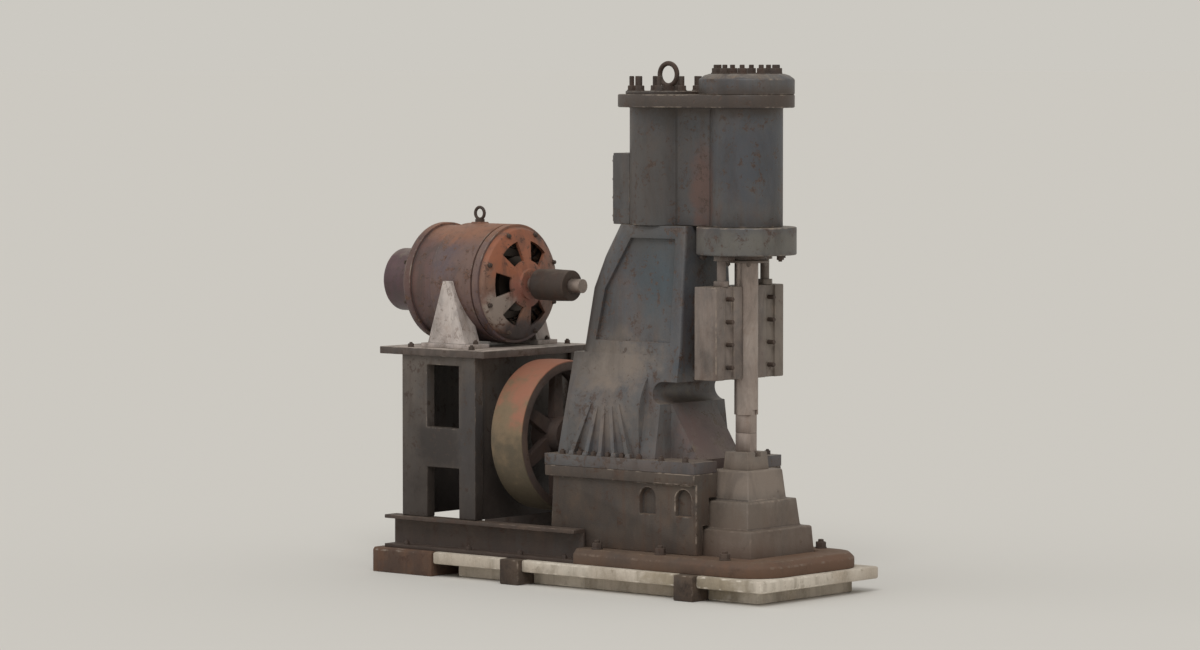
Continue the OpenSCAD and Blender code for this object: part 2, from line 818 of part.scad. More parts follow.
module gland() {
    color("#6b625a") translate([0, 0, lower_cover_z - gland_h]) difference() {
        union() {
            cylinder(r = gland_r, h = gland_h);
            cylinder(r = gland_r + 12, h = gland_h / 3);
        }
        translate([0, 0, -1]) cylinder(r = rod_r + slide_gap, h = gland_h + 2);
    }
}

// The head casting: two barrels, the web between them and their common flange
module cylinder_block() {
    color("#4f4d4f") difference() {
        union() {
            translate([0, 0, head_z]) cylinder(r = ram_barrel_r, h = head_h + EPS);
            translate([-cylinder_pitch, 0, head_z]) cylinder(r = rear_barrel_r, h = head_h + EPS);
            block([-cylinder_pitch, -barrel_web, head_z], [0, barrel_web, head_flange_z + EPS]);
            translate([0, 0, head_flange_z]) cylinder(r = ram_flange_r, h = head_flange_t);
            translate([-cylinder_pitch, 0, head_flange_z])
                cylinder(r = rear_flange_r, h = head_flange_t);
            translate([0, 0, head_flange_z]) linear_extrude(head_flange_t)
                polygon([[0, -ram_flange_r], [0, ram_flange_r],
                         [-cylinder_pitch, rear_flange_r], [-cylinder_pitch, -rear_flange_r]]);
        }
        translate([0, 0, head_z - 1]) cylinder(r = bore_r, h = head_h + head_flange_t + 2);
    }
}

module ram_cylinder_cover() {
    color("#4d4a49") translate([0, 0, head_top]) rotate_extrude()
        polygon([[0, 0], [ram_flange_r, 0], [ram_flange_r, ram_cover_h - ram_cover_bevel],
                 [ram_flange_r - ram_cover_bevel, ram_cover_h - 8],
                 [ram_flange_r - 2 * ram_cover_bevel, ram_cover_h], [0, ram_cover_h]]);
}

module compressor_cover() {
    color("#4d4a49") translate([-cylinder_pitch, 0, head_top])
        cylinder(r = rear_barrel_r + 20, h = rear_cover_h);
}

// A forged eye on its collar, standing at the origin
module eye(r, bar_r, collar_r, collar_h) {
    cylinder(r = collar_r, h = collar_h);
    translate([0, 0, collar_h + r - bar_r]) rotate([90, 0, 0]) rotate_extrude()
        translate([r - bar_r, 0]) circle(r = bar_r, $fn = 32);
}

module lifting_eye() {
    color("#5c5148") translate([-cylinder_pitch, 0, head_top + rear_cover_h])
        eye(eye_r, eye_bar_r, eye_collar_r, eye_collar_h);
}

module motor_lifting_eye() {
    color("#5c5148") translate([-motor_mid_x, 0, eye_pad_z])
        eye(motor_eye_r, motor_eye_bar_r, eye_pad_half - 8, motor_eye_collar_h);
}

module air_chest() {
    x0 = -cylinder_pitch - rear_barrel_r - chest_l;
    color("#55504f") difference() {
        union() {
            block([x0, -chest_half_w, head_z], [-cylinder_pitch, chest_half_w, head_z + chest_h]);
            block([x0 - chest_lid_t, -chest_half_w + 12, head_z + 12],
                  [x0 + EPS, chest_half_w - 12, head_z + chest_h - 12]);
        }
        translate([-cylinder_pitch, 0, head_z - 1])
            cylinder(r = rear_barrel_r + seat_gap, h = chest_h + 2);
        block([-cylinder_pitch - barrel_web, -rear_barrel_r, head_z - 1],
              [0, rear_barrel_r, head_z + chest_h + 1]);
    }
}

// A flanged bearing on the housing's rear face
module crank_bearing() {
    color("#4f4642") difference() {
        union() {
            bar_x(bearing_flange_r, -boss_x - bearing_flange_t, -boss_x, crank_z);
            bar_x(bearing_r, -bearing_x, -boss_x, crank_z);
        }
        bar_x(bush_r + seat_gap, -bearing_x - 1, -boss_x + 1, crank_z);
    }
}

module crank_bush() {
    color("#8a7350") difference() {
        bar_x(bush_r, -bearing_x, -boss_x + crank_inside, crank_z);
        bar_x(crank_d / 2 + shaft_gap, -bearing_x - 1, -boss_x + crank_inside + 1, crank_z);
    }
}

module crankshaft() {
    color(worn_steel)
        bar_x(crank_d / 2, -wheel_x - hub_l / 2 - 30, -boss_x + crank_inside, crank_z);
}

// A belt flywheel with a crowned rim, straight tapered spokes and a split hub
module flywheel() {
    inner = wheel_r - rim_crown - rim_t;
    color("#7d5d4e") translate([-wheel_x, 0, 0]) difference() {
        union() {
            turned_x([[inner, -rim_w / 2], [wheel_r - rim_crown, -rim_w / 2],
                      [wheel_r - rim_crown / 4, -rim_w / 4], [wheel_r, 0],
                      [wheel_r - rim_crown / 4, rim_w / 4], [wheel_r - rim_crown, rim_w / 2],
                      [inner, rim_w / 2], [inner, spoke_t], [inner - 16, spoke_t / 2],
                      [inner - 16, -spoke_t / 2], [inner, -spoke_t]], crank_z);
            bar_x(hub_r, -hub_l / 2, hub_l / 2, crank_z);
            for (k = [0:spoke_count - 1])
                translate([0, 0, crank_z]) rotate([k * 360 / spoke_count, 0, 0])
                    intersection() {
                        prism_yz([[-spoke_w_hub / 2, hub_r / 2], [spoke_w_hub / 2, hub_r / 2],
                                  [spoke_w_rim / 2, inner - 8], [-spoke_w_rim / 2, inner - 8]],
                                 -spoke_t, spoke_t);
                        prism_xz([[-spoke_t / 2, 0], [spoke_t / 2, 0],
                                  [spoke_t / 2.6, inner], [-spoke_t / 2.6, inner]],
                                 -spoke_w_hub, spoke_w_hub);
                    }
        }
        bar_x(crank_d / 2 + seat_gap, -hub_l, hub_l, crank_z);
    }
}

module motor_table() {
    color("#8f857e")
        block([-table_rear, -table_half_w, table_z - table_t],
              [-table_front, table_half_w, table_z]);
}

// One side of the stand: two legs, a middle rail and a top rail
module stand_side(side) {
    top = table_z - table_t;
    color("#5c544d") mirror([0, side < 0 ? 1 : 0, 0]) difference() {
        block([-stand_rear, stand_half_w - stand_t, rail_z], [-stand_front, stand_half_w, top]);
        for (span = [[rail_z - 1, stand_rail_z],
                     [stand_rail_z + stand_rail_h, top - stand_top_h]])
            block([-stand_rear + leg_rear_w, 0, span[0]],
                  [-stand_front - leg_front_w, stand_half_w + 1, span[1]]);
    }
}
module stand_side_right() { stand_side(-1); }
module stand_side_left() { stand_side(1); }

module stand_plate(x0) {
    inner = stand_half_w - stand_t;
    color("#433c3a")
        block([x0, -inner, rail_z], [x0 + stand_plate_t, inner, table_z - table_t]);
}
module stand_front_plate() { stand_plate(-stand_front - stand_plate_t - 20); }
module stand_rear_plate() { stand_plate(-stand_rear + 20); }

module motor_frame() {
    color("#5b4a48") difference() {
        union() {
            bar_x(motor_r - end_ring_out, -motor_rear_x, -motor_front_x, motor_z);
            bar_x(motor_r, -motor_front_x - end_ring_t, -motor_front_x, motor_z);
            bar_x(motor_r, -motor_rear_x, -motor_rear_x + end_ring_t, motor_z);
            bar_x(motor_r, -motor_foot_x - foot_w / 2, -motor_foot_x + foot_w / 2, motor_z);
            block([-motor_mid_x - eye_pad_half, -eye_pad_half, motor_z + motor_r - motor_wall / 2],
                  [-motor_mid_x + eye_pad_half, eye_pad_half, eye_pad_z]);
        }
        bar_x(motor_r - motor_wall, -motor_rear_x - 1, -motor_front_x + 1, motor_z);
    }
}

// The stator's core with the rounded heads of its winding
module stator_core() {
    bore = rotor_r + air_gap;
    coil = (core_r + bore) / 2;
    coil_half = (core_r - bore) / 2 - 8;
    x0 = -motor_mid_x - core_l / 2;
    x1 = -motor_mid_x + core_l / 2;
    color("#4b3a30")
        turned_x([[bore, x0], [coil - coil_half, x0], [coil - coil_half, x0 - coil_out + 16],
                  [coil - coil_half + 12, x0 - coil_out], [coil + coil_half - 12, x0 - coil_out],
                  [coil + coil_half, x0 - coil_out + 16], [coil + coil_half, x0],
                  [core_r, x0], [core_r, x1], [coil + coil_half, x1],
                  [coil + coil_half, x1 + coil_out - 16], [coil + coil_half - 12, x1 + coil_out],
                  [coil - coil_half + 12, x1 + coil_out], [coil - coil_half, x1 + coil_out - 16],
                  [coil - coil_half, x1], [bore, x1]], motor_z);
}

// A domed end shield with windows, drawn with its rim at x = 0 and its hub ahead
module end_shield() {
    hub_front = shield_depth;
    seat = motor_r - end_ring_out;
    difference() {
        turned_x([[motor_shaft_d / 2 + shaft_gap, 30], [motor_shaft_d / 2 + shaft_gap, hub_front],
                  [shield_hub_r, hub_front], [shield_hub_r, hub_front - 18],
                  [window_r0, hub_front - 28], [window_r1, hub_front - 52], [seat - 12, 26],
                  [seat, 0], [seat - shield_wall - 8, 0], [window_r1 - 10, hub_front - 52 - 16],
                  [window_r0, hub_front - 28 - shield_wall],
                  [shield_hub_r, hub_front - 34 - shield_wall], [shield_hub_r, 30]], 0);
        for (k = [0:window_count - 1]) rotate([(k + 0.5) * 360 / window_count, 0, 0])
            window_cut();
    }
}

// One window: a sector between two radii, cut along X
module window_cut() {
    steps = 4;
    half = window_angle / 2;
    prism_yz([for (i = [0:steps]) let (a = 90 - half + i * window_angle / steps)
                  [window_r1 * cos(a), window_r1 * sin(a)],
              for (i = [0:steps]) let (a = 90 + half - i * window_angle / steps)
                  [window_r0 * cos(a), window_r0 * sin(a)]],
             -1, shield_depth + 1);
}

module front_shield() {
    color("#77564a") translate([-motor_front_x, 0, motor_z]) end_shield();
}
module rear_shield() {
    color("#57484a") translate([-motor_rear_x, 0, motor_z]) mirror([1, 0, 0]) end_shield();
}

module slip_ring_cap() {
    x1 = -motor_rear_x - shield_depth;
    color("#4a2f2c")
        turned_x([[0, x1 - cap_l], [cap_r - 22, x1 - cap_l], [cap_r, x1 - cap_l + 22],
                  [cap_r, x1 - 14], [cap_r + 10, x1 - 14], [cap_r + 10, x1],
                  [motor_shaft_d / 2 + 2, x1], [motor_shaft_d / 2 + 2, x1 - cap_l + 30],
                  [0, x1 - cap_l + 30]], motor_z);
}

// A triangular foot that holds the motor's frame at one side
module motor_foot(side) {
    outer = motor_r + foot_out;
    color("#a39790") translate([-motor_foot_x, 0, 0]) mirror([0, side < 0 ? 1 : 0, 0])
        difference() {
            union() {
                prism_xz([[-foot_w / 2, table_z], [foot_w / 2, table_z],
                          [foot_top_w / 2, motor_z + foot_rise],
                          [-foot_top_w / 2, motor_z + foot_rise]], motor_r * 0.72, outer - 10);
                block([-foot_w / 2 - 30, motor_r * 0.62, table_z],
                      [foot_w / 2 + 30, outer, table_z + foot_pad_t]);
            }
            bar_x(motor_r + seat_gap, -foot_w, foot_w, motor_z);
        }
}
module motor_foot_right() { motor_foot(-1); }
module motor_foot_left() { motor_foot(1); }

module rotor() {
    r = motor_shaft_d / 2;
    tail = -motor_rear_x - shield_depth - cap_l + 60;
    color("#6a605a")
        turned_x([[0, tail], [r, tail], [r, -motor_mid_x - core_l / 2 - 60],
                  [rotor_r - 40, -motor_mid_x - core_l / 2 - 60],
                  [rotor_r - 40, -motor_mid_x - core_l / 2], [rotor_r, -motor_mid_x - core_l / 2],
                  [rotor_r, -motor_mid_x + core_l / 2],
                  [rotor_r - 40, -motor_mid_x + core_l / 2],
                  [rotor_r - 40, -motor_mid_x + core_l / 2 + 60],
                  [r, -motor_mid_x + core_l / 2 + 60], [r, -wheel_x + pulley_w / 2 + shaft_out],
                  [0, -wheel_x + pulley_w / 2 + shaft_out]], motor_z);
}

module motor_pulley() {
    color("#40342f") difference() {
        turned_x([[0, -wheel_x - pulley_w / 2], [pulley_r - 3, -wheel_x - pulley_w / 2],
                  [pulley_r, -wheel_x], [pulley_r - 3, -wheel_x + pulley_w / 2],
                  [0, -wheel_x + pulley_w / 2]], motor_z);
        bar_x(motor_shaft_d / 2 + seat_gap, -wheel_x - pulley_w, -wheel_x + pulley_w, motor_z);
    }
}

plinth();
bearer_front();
bearer_middle();
rear_sill();
bed_plate();
rail_right();
rail_left();
anvil_block();
sow_block();
lower_die();
lower_die_key();
pedestal();
column();
ram_guide();
guide_stay_right();
guide_stay_left();
lower_cover();
gland();
cylinder_block();
ram_cylinder_cover();
compressor_cover();
lifting_eye();
air_chest();
crank_bearing();
crank_bush();
ram();
upper_die();
upper_die_key();
crankshaft();
flywheel();
motor_table();
stand_side_right();
stand_side_left();
stand_front_plate();
stand_rear_plate();
motor_frame();
stator_core();
front_shield();
rear_shield();
slip_ring_cap();
motor_foot_right();
motor_foot_left();
motor_lifting_eye();
rotor();
motor_pulley();
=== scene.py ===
# %% [markdown]
# # A self-contained forging hammer, dressed in Blender
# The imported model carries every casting, shaft and frame at its true size and place.
# This script gives those pieces their surfaces, rounds the edges that a foundry rounds,
# and adds the flares, nuts and studs that are too small for the solid model. Every
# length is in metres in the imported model's frame, unless its name ends in mm or MM.

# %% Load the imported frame
import json
import math

import bmesh
import bpy
from mathutils import Matrix, Vector


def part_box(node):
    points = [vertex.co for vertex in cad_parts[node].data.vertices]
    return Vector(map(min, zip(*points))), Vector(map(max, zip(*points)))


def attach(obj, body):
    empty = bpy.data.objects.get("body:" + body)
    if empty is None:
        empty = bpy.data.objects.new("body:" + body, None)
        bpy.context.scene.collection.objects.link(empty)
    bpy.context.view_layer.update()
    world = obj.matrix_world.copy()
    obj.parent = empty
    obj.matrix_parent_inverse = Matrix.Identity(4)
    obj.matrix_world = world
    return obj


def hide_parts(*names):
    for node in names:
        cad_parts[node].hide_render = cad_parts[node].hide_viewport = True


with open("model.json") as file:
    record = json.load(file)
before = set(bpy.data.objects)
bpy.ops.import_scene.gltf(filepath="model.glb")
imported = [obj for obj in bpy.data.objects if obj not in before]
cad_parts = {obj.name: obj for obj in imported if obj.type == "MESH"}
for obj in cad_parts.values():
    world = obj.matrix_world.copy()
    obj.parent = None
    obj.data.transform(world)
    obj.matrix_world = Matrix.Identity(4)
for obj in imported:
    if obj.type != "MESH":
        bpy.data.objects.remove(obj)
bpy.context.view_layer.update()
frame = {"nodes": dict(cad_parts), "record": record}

# %% [markdown]
# ## Colours and nodes
# A weathered machine has many close browns and greys. They are written here as sRGB hex
# values, as a colour picker shows them, and one function turns them to the linear values
# that the shader works in. A second small function adds a node with its settings and
# its links, so that each material below reads from top to bottom. In its links, i0 means
# the node's first input, i1 its second, and a word means the input of that name.


# %% Two helpers for materials
def linear(code):
    """The linear RGBA of an sRGB hex value such as #504d4e."""
    parts = [int(code[i:i + 2], 16) / 255 for i in (1, 3, 5)]
    return [c / 12.92 if c <= 0.04045 else ((c + 0.055) / 1.055) ** 2.4 for c in parts] + [1]


def add(tree, kind, settings=None, **links):
    """Adds a node, sets its properties and constants, and links outputs to its inputs."""
    node = tree.nodes.new(kind)
    for key, value in (settings or {}).items():
        if isinstance(key, str) and hasattr(node, key):
            setattr(node, key, value)
        else:
            node.inputs[key].default_value = value
    for key, output in links.items():
        socket = node.inputs[int(key[1:])] if key[1:].isdigit() else node.inputs[key]
        tree.links.new(output, socket)
    return node


print("A mid grey in linear light:", [round(c, 3) for c in linear("#808080")])

# %% [markdown]
# ## Laying one colour over another
# Paint, soot, rust and dust lie over each other, and each shows only in places. On a
# model this is done with brushes, one coat at a time. Here a pattern plays the brush:
# where it rises from a low to a high value, the upper colour fades in over the lower
# one. Close values give the hard edge of a paint chip, values far apart give the soft
# edge of soot, and swapped values turn the pattern round.


# %% Lay a colour where a pattern is strong
def lay(tree, under, over, pattern, low, high, strength=1.0):
    """The mixed colour, and the mask that says where the upper colour lies."""
    mask = add(tree, "ShaderNodeMapRange", {"interpolation_type": "SMOOTHSTEP", "From Min": low,
                                            "From Max": high, "To Max": strength},
               i0=pattern).outputs[0]
    mixed = add(tree, "ShaderNodeMix", {"data_type": "RGBA"}, i0=mask)
    for socket, colour in ((mixed.inputs[6], under), (mixed.inputs[7], over)):
        if isinstance(colour, str):
            socket.default_value = linear(colour)
        else:
            tree.links.new(colour, socket)
    return mixed.outputs[2], mask


print("Ready to lay one colour over another")

# %% [markdown]
# ## What a finish can change
# Nearly every surface of this machine is iron under an old coat, soot and rust, so one
# recipe serves them all, and a finish only says what it changes. It starts from the
# coat of the frame's brushed machine enamel, and else from what most finishes share.
# Enamel is no metal to light, so metallic is nought, and it keeps the usual index of
# refraction. Fresh, its roughness would be 0.2 or so; out of doors it chalks to 0.5 or
# more, and rust is nearly matte.

# %% The values that every finish starts from
WEATHER = {
    # the coat, what it fades to, and how large the faded patches are
    "coat": "#48484c", "faded": "#565453", "patch_mm": 300,
    # a play of cooler and warmer tones, and how strong it is
    "cool": "#40464a", "warm": "#65503f", "mottled": 0.35,
    # rust shows where its noise passes rust_from; rain draws it down in streaks
    "rust": "#54433a", "rust_from": 0.6, "streaked": 0.4, "run_of": (1, 1, 0.09),
    # smoke over the coat, and flakes that have come off it
    "soot": "#332f2d", "sooted": 0.45, "flaking": 0.0,
    # bare edges, dust on what faces up, and dirt splashed up to a height
    "worn": "#85786c", "dust": "#857a6c", "dusty": 0.45, "low_dirt": "#5a4a3c", "dirt_top": 0.0,
    # stains and painted light: where the middle is, how far it reaches, its colour and its strength
    "stains": (),
    # the skin: sheen, rust's sheen, how metallic, its grain and how deep that is
    "rough": 0.5, "rust_rough": 0.88, "metallic": 0.0, "grain_mm": 7, "relief": 0.4,
    # moves the patterns, so that no two finishes share them
    "seed": 0.0}
print("A finish can change", len(WEATHER), "values")

# %% [markdown]
# ## Patterns of weather
# All the patterns are noise, each with the size of what it stands for: patches as wide
# as a brush-load, streaks as broad as a hand, rust blooms the size of a palm, flakes as
# large as a coin. The sand of a mould leaves a grain of a millimetre or so, which is
# too fine to show from where the camera stands, so it is drawn at four to nine. Images
# would tie the surface to one view; noise on Object coordinates has detail on all
# sides, and stays fixed to the metal when a piece moves. Soot hangs and rain runs, so
# those two are drawn out upright, or along the grain of a beam.


# %% Make the noises of a finish
def patterns(tree, look):
    """Where a point lies, and the noises by name."""
    place = add(tree, "ShaderNodeTexCoord").outputs["Object"]
    seed, patch_mm = look["seed"], look["patch_mm"]
    still = add(tree, "ShaderNodeMapping", {"Location": (seed, seed * 0.7, seed * 1.3)},
                Vector=place).outputs[0]
    running = add(tree, "ShaderNodeMapping", {"Scale": look["run_of"]}, Vector=still).outputs[0]
    hanging = add(tree, "ShaderNodeMapping", {"Location": (9, 4, 2), "Scale": (1, 1, 0.45)},
                  Vector=still).outputs[0]
    # how each lies, its size in mm, and its detail, harshness and twist
    table = {"patches": (still, patch_mm, 5, 0.62, 0.0), "tone": (still, 133, 8, 0.68, 0.35),
             "streaks": (running, 45, 4, 0.6, 0.0), "smoke": (hanging, patch_mm / 1.7, 7, 0.7, 0.6),
             "blooms": (still, patch_mm / 4.2, 9, 0.68, 0.25), "flakes": (still, 26, 7, 0.72, 0.4),
             "chips": (still, 38, 5, 0.6, 0.0), "grain": (still, look["grain_mm"], 3, 0.55, 0.0)}
    noise = {}
    for name, (lies, size_mm, detail, harsh, twist) in table.items():
        noise[name] = add(tree, "ShaderNodeTexNoise", {"Scale": 1000 / size_mm, "Detail": detail,
                                                       "Roughness": harsh, "Distortion": twist},
                          Vector=lies).outputs[0]
    return place, noise


print("Patterns are noises sized in millimetres")

# %% [markdown]
# ## The old coat
# A coat fades in broad patches, its tone plays between cool and warm, rust runs down it
# in streaks, and its grain catches the light. Some stains have a known place, such as
# the red primer between the barrels, and so do marks of painted light and shade, such as
# the painted warm light in tan round the crank. Each fades out over its reach with a
# ragged edge. They could be painted on by hand, but a centre and a reach say the same in
# one line and are easy to move. Smoke comes last, because it lies over all of them.


# %% Coat, stains, painted light and soot
def old_coat(tree, look, place, noise):
    """The colour of the coat before any rust."""
    colour, _ = lay(tree, look["coat"], look["faded"], noise["patches"], 0.36, 0.66)
    colour, _ = lay(tree, colour, look["cool"], noise["tone"], 0.5, 0.72, look["mottled"])
    colour, _ = lay(tree, colour, look["warm"], noise["tone"], 0.48, 0.28, look["mottled"])
    colour, _ = lay(tree, colour, look["rust"], noise["streaks"], 0.46, 0.72, look["streaked"])
    colour, _ = lay(tree, colour, look["faded"], noise["grain"], 0.42, 0.7, 0.35)
    for centre, reach, tint, strength in look["stains"]:
        away = add(tree, "ShaderNodeVectorMath", {"operation": "SUBTRACT", 1: centre},
                   i0=place).outputs[0]
        away = add(tree, "ShaderNodeVectorMath", {"operation": "DIVIDE", 1: reach},
                   i0=away).outputs[0]
        away = add(tree, "ShaderNodeVectorMath", {"operation": "LENGTH"}, i0=away).outputs[1]
        ragged = add(tree, "ShaderNodeMath", {"operation": "MULTIPLY_ADD", 1: 1.3},
                     i0=noise["blooms"], i2=away).outputs[0]
        # the noise adds some 0.65, so a stain is whole to half its reach and gone just past it
        colour, _ = lay(tree, colour, tint, ragged, 1.75, 1.15, strength)
    colour, _ = lay(tree, colour, look["soot"], noise["smoke"], 0.44, 0.66, look["sooted"])
    return colour


print("The coat is laid in six steps and its stains")

# %% [markdown]
# ## Rust and flakes
# Rust breaks through in blooms, darker in its grain, and thin paint comes off round
# them in small flakes with sharp edges. The two share a noise, so that flakes gather
# near rust, as they do when it creeps under paint. Rust stands proud of the surface
# and a flake leaves a pit, so both masks are kept for the bump.


# %% Rust blooms and flakes round them
DEEP_RUST = "#3d2d24"


def rusted(tree, look, noise, colour):
    """The colour with its rust, the mask of the rust, and the mask of the flakes."""
    deep, _ = lay(tree, look["rust"], DEEP_RUST, noise["grain"], 0.35, 0.65)
    colour, rusty = lay(tree, colour, deep, noise["blooms"], look["rust_from"],
                        look["rust_from"] + 0.13, 0.75)
    around = add(tree, "ShaderNodeMath", {"operation": "MULTIPLY_ADD", 1: 0.9},
                 i0=noise["blooms"], i2=noise["flakes"]).outputs[0]
    colour, flaked = lay(tree, colour, deep, around, 1.04, 1.07, look["flaking"])
    return colour, rusty, flaked


print("Rust covers three quarters of a bloom's colour")

# %% [markdown]
# ## Edges, corners, ledges and the ground
# Edges that stand out are rubbed bare in stretches, inner corners are darkened,
# dust lies on all that faces up, and the ground splashes what is near it. The first two
# read attributes that mark the faces of rounded edges, which are made further down:
# a pointiness node would need a fine mesh for the same thing. Which way a face looks is
# taken in the piece's own frame, so that its dust turns with it.


# %% Wear and dirt by place
def worn_and_dusty(tree, look, place, noise, colour):
    """The colour with its bare edges, darkened inner corners, dust and splashed dirt."""
    edge = add(tree, "ShaderNodeAttribute", {"attribute_name": "worn_edge"}).outputs["Fac"]
    for rub in ("chips", "patches"):
        edge = add(tree, "ShaderNodeMath", {"operation": "MULTIPLY"}, i0=edge,
                   i1=noise[rub]).outputs[0]
    colour, _ = lay(tree, colour, look["worn"], edge, 0.24, 0.38)
    corner = add(tree, "ShaderNodeAttribute", {"attribute_name": "crevice"}).outputs["Fac"]
    colour, _ = lay(tree, colour, look["soot"], corner, 0.0, 1.0, 0.6)
    faces = add(tree, "ShaderNodeVectorTransform",
                {"vector_type": "NORMAL", "convert_from": "WORLD", "convert_to": "OBJECT"},
                i0=add(tree, "ShaderNodeNewGeometry").outputs["Normal"]).outputs[0]
    upward = add(tree, "ShaderNodeSeparateXYZ", i0=faces).outputs[2]
    lying = add(tree, "ShaderNodeMath", {"operation": "MULTIPLY"}, i0=upward,
                i1=noise["blooms"]).outputs[0]
    colour, _ = lay(tree, colour, look["dust"], lying, 0.3, 0.55, look["dusty"])
    if look["dirt_top"] > 0:
        height = add(tree, "ShaderNodeSeparateXYZ", i0=place).outputs[2]
        near = add(tree, "ShaderNodeMapRange", {"From Min": look["dirt_top"], "From Max": 0.0},
                   i0=height).outputs[0]
        splashed = add(tree, "ShaderNodeMath", {"operation": "MULTIPLY"}, i0=near,
                       i1=noise["patches"]).outputs[0]
        colour, _ = lay(tree, colour, look["low_dirt"], splashed, 0.0, 0.5)
    return colour


print("Wear reads the attributes worn_edge and crevice")

# %% [markdown]
# ## The recipe
# The steps above are put together in the order in which they happen to a machine: its
# coat, its rust, then wear and dirt. One bump carries the grain, the rust and the
# flakes, a quarter of the grain's size deep. Where it rusts, the skin loses its sheen.


# %% One weathered finish
def weathered(name, **changes):
    """A material by the recipe, with what it changes in WEATHER."""
    look = {**WEATHER, **changes}
    material = bpy.data.materials.new(name)
    material.use_nodes = True
    tree = material.node_tree
    tree.nodes.clear()
    place, noise = patterns(tree, look)
    colour = old_coat(tree, look, place, noise)
    colour, rusty, flaked = rusted(tree, look, noise, colour)
    colour = worn_and_dusty(tree, look, place, noise, colour)
    skin = noise["grain"]
    for mask, height in ((rusty, 0.5), (flaked, -0.8)):
        skin = add(tree, "ShaderNodeMath", {"operation": "MULTIPLY_ADD", 1: height}, i0=mask,
                   i2=skin).outputs[0]
    depth = look["grain_mm"] / 4000
    bumped = add(tree, "ShaderNodeBump", {"Strength": look["relief"], "Distance": depth},
                 Height=skin).outputs[0]
    sheen = add(tree, "ShaderNodeMapRange", {"To Min": look["rough"],
                                             "To Max": look["rust_rough"]}, i0=rusty).outputs[0]
    shader = add(tree, "ShaderNodeBsdfPrincipled", {"Metallic": look["metallic"]}, i0=colour,
                 Normal=bumped, Roughness=sheen)
    add(tree, "ShaderNodeOutputMaterial", Surface=shader.outputs[0])
    return material


FINISHES = {}
print("The recipe is ready, and FINISHES holds each finish under its slot's name")

# %% [markdown]
# ## What the machine stands on
# Concrete cast between boards is pale and quite matte, and stays darker where it is
# wet. The bearers are oak beams under tar, nearly black, and their streaks follow the
# grain along the beam. The rear sill is hot-rolled plate that has rusted through its
# mill scale. Each is the same recipe with other colours, because what shows on all
# three is weather and not the stuff itself.

# %% Concrete, timber and plate
# cast between boards: matte and pale, with lime on its edges
FINISHES["concrete"] = weathered(
    "cast_concrete", coat="#b3a798", faded="#c9bfb1", rust="#857867", rust_from=0.62,
    streaked=0.35, rough=0.9, rust_rough=0.95, relief=0.6, soot="#746958", sooted=0.5,
    cool="#a9a396", warm="#a08a6f", worn="#cfc6b8", dust="#bfb4a4", seed=1.0,
    stains=(((0.05, -0.46, 0.1), (0.34, 0.3, 0.14), "#8f826c", 0.75),))
# sawn oak, brushed with tar: nearly black, with a dull grain along the beam
FINISHES["bearer_timber"] = weathered(
    "tarred_oak", coat="#3b2e25", faded="#54463a", rust="#2c231d", streaked=0.8, patch_mm=200,
    grain_mm=6, rough=0.85, rust_rough=0.9, relief=0.7, dust="#5d5144", run_of=(1, 0.06, 1),
    seed=2.0)
# hot-rolled plate: rusted to a red-brown that is rough all over
FINISHES["sill_steel"] = weathered(
    "rusted_plate_steel", coat="#523a2c", faded="#624836", rust="#442b20", rust_from=0.52,
    streaked=0.5, patch_mm=260, grain_mm=8, rough=0.85, rust_rough=0.92, relief=0.7,
    dust="#6c503d", seed=3.0)
print("Ground finishes:", list(FINISHES))

# %% [markdown]
# ## Base castings and rails
# Grey iron is poured in sand, which leaves a pebbled skin that holds an even brown rust.
# The rails and the nuts are rolled or turned steel under a darker rust, and the anvil is
# kept a little cleaner by the work that lands on it. Rust is an oxide, so light treats
# it as no metal at all, and the metallic value stays at nought for all three.

# %% Bed, rails and anvil
# sand-cast and left bare: pebbled and evenly brown, with earth at its foot
FINISHES["bed_iron"] = weathered(
    "rusted_grey_iron", coat="#463d37", faded="#53483f", rust="#4f382a", rust_from=0.55,
    streaked=0.5, patch_mm=340, grain_mm=8, rough=0.75, rust_rough=0.9, relief=0.6,
    dust="#75614e", low_dirt="#5f4736", dirt_top=0.34,
    stains=(((0.25, 0, 0.14), (0.42, 0.6, 0.14), "#684a38", 0.85),), seed=4.0)
# rolled and turned: a tighter skin, so finer grain and darker rust
FINISHES["rail_steel"] = weathered(
    "rusted_rolled_steel", coat="#3b2f28", faded="#483b33", rust="#4b3327", rust_from=0.54,
    streaked=0.5, grain_mm=6, rough=0.7, relief=0.5, soot="#2a211c", worn="#6f6056",
    dust="#6d5f53", low_dirt="#33261f", dirt_top=0.3, seed=5.0)
# sand-cast and rubbed by handling: greyer, with a faint sheen on its faces
FINISHES["anvil_iron"] = weathered(
    "weathered_anvil_iron", coat="#6a6057", faded="#7a6f65", rust="#5b4a3d", grain_mm=8,
    rough=0.62, relief=0.55, cool="#585450", warm="#6c5747", mottled=0.5, sooted=0.35,
    dust="#867b6f", low_dirt="#564337", dirt_top=0.55, seed=6.3, stains=(
        ((0, 0, 0.57), (0.4, 0.4, 0.11), "#7d7065", 0.75),
        ((0, 0, 0.37), (0.5, 0.5, 0.12), "#584d43", 0.6)))
print("Base finishes:", list(FINISHES)[3:])
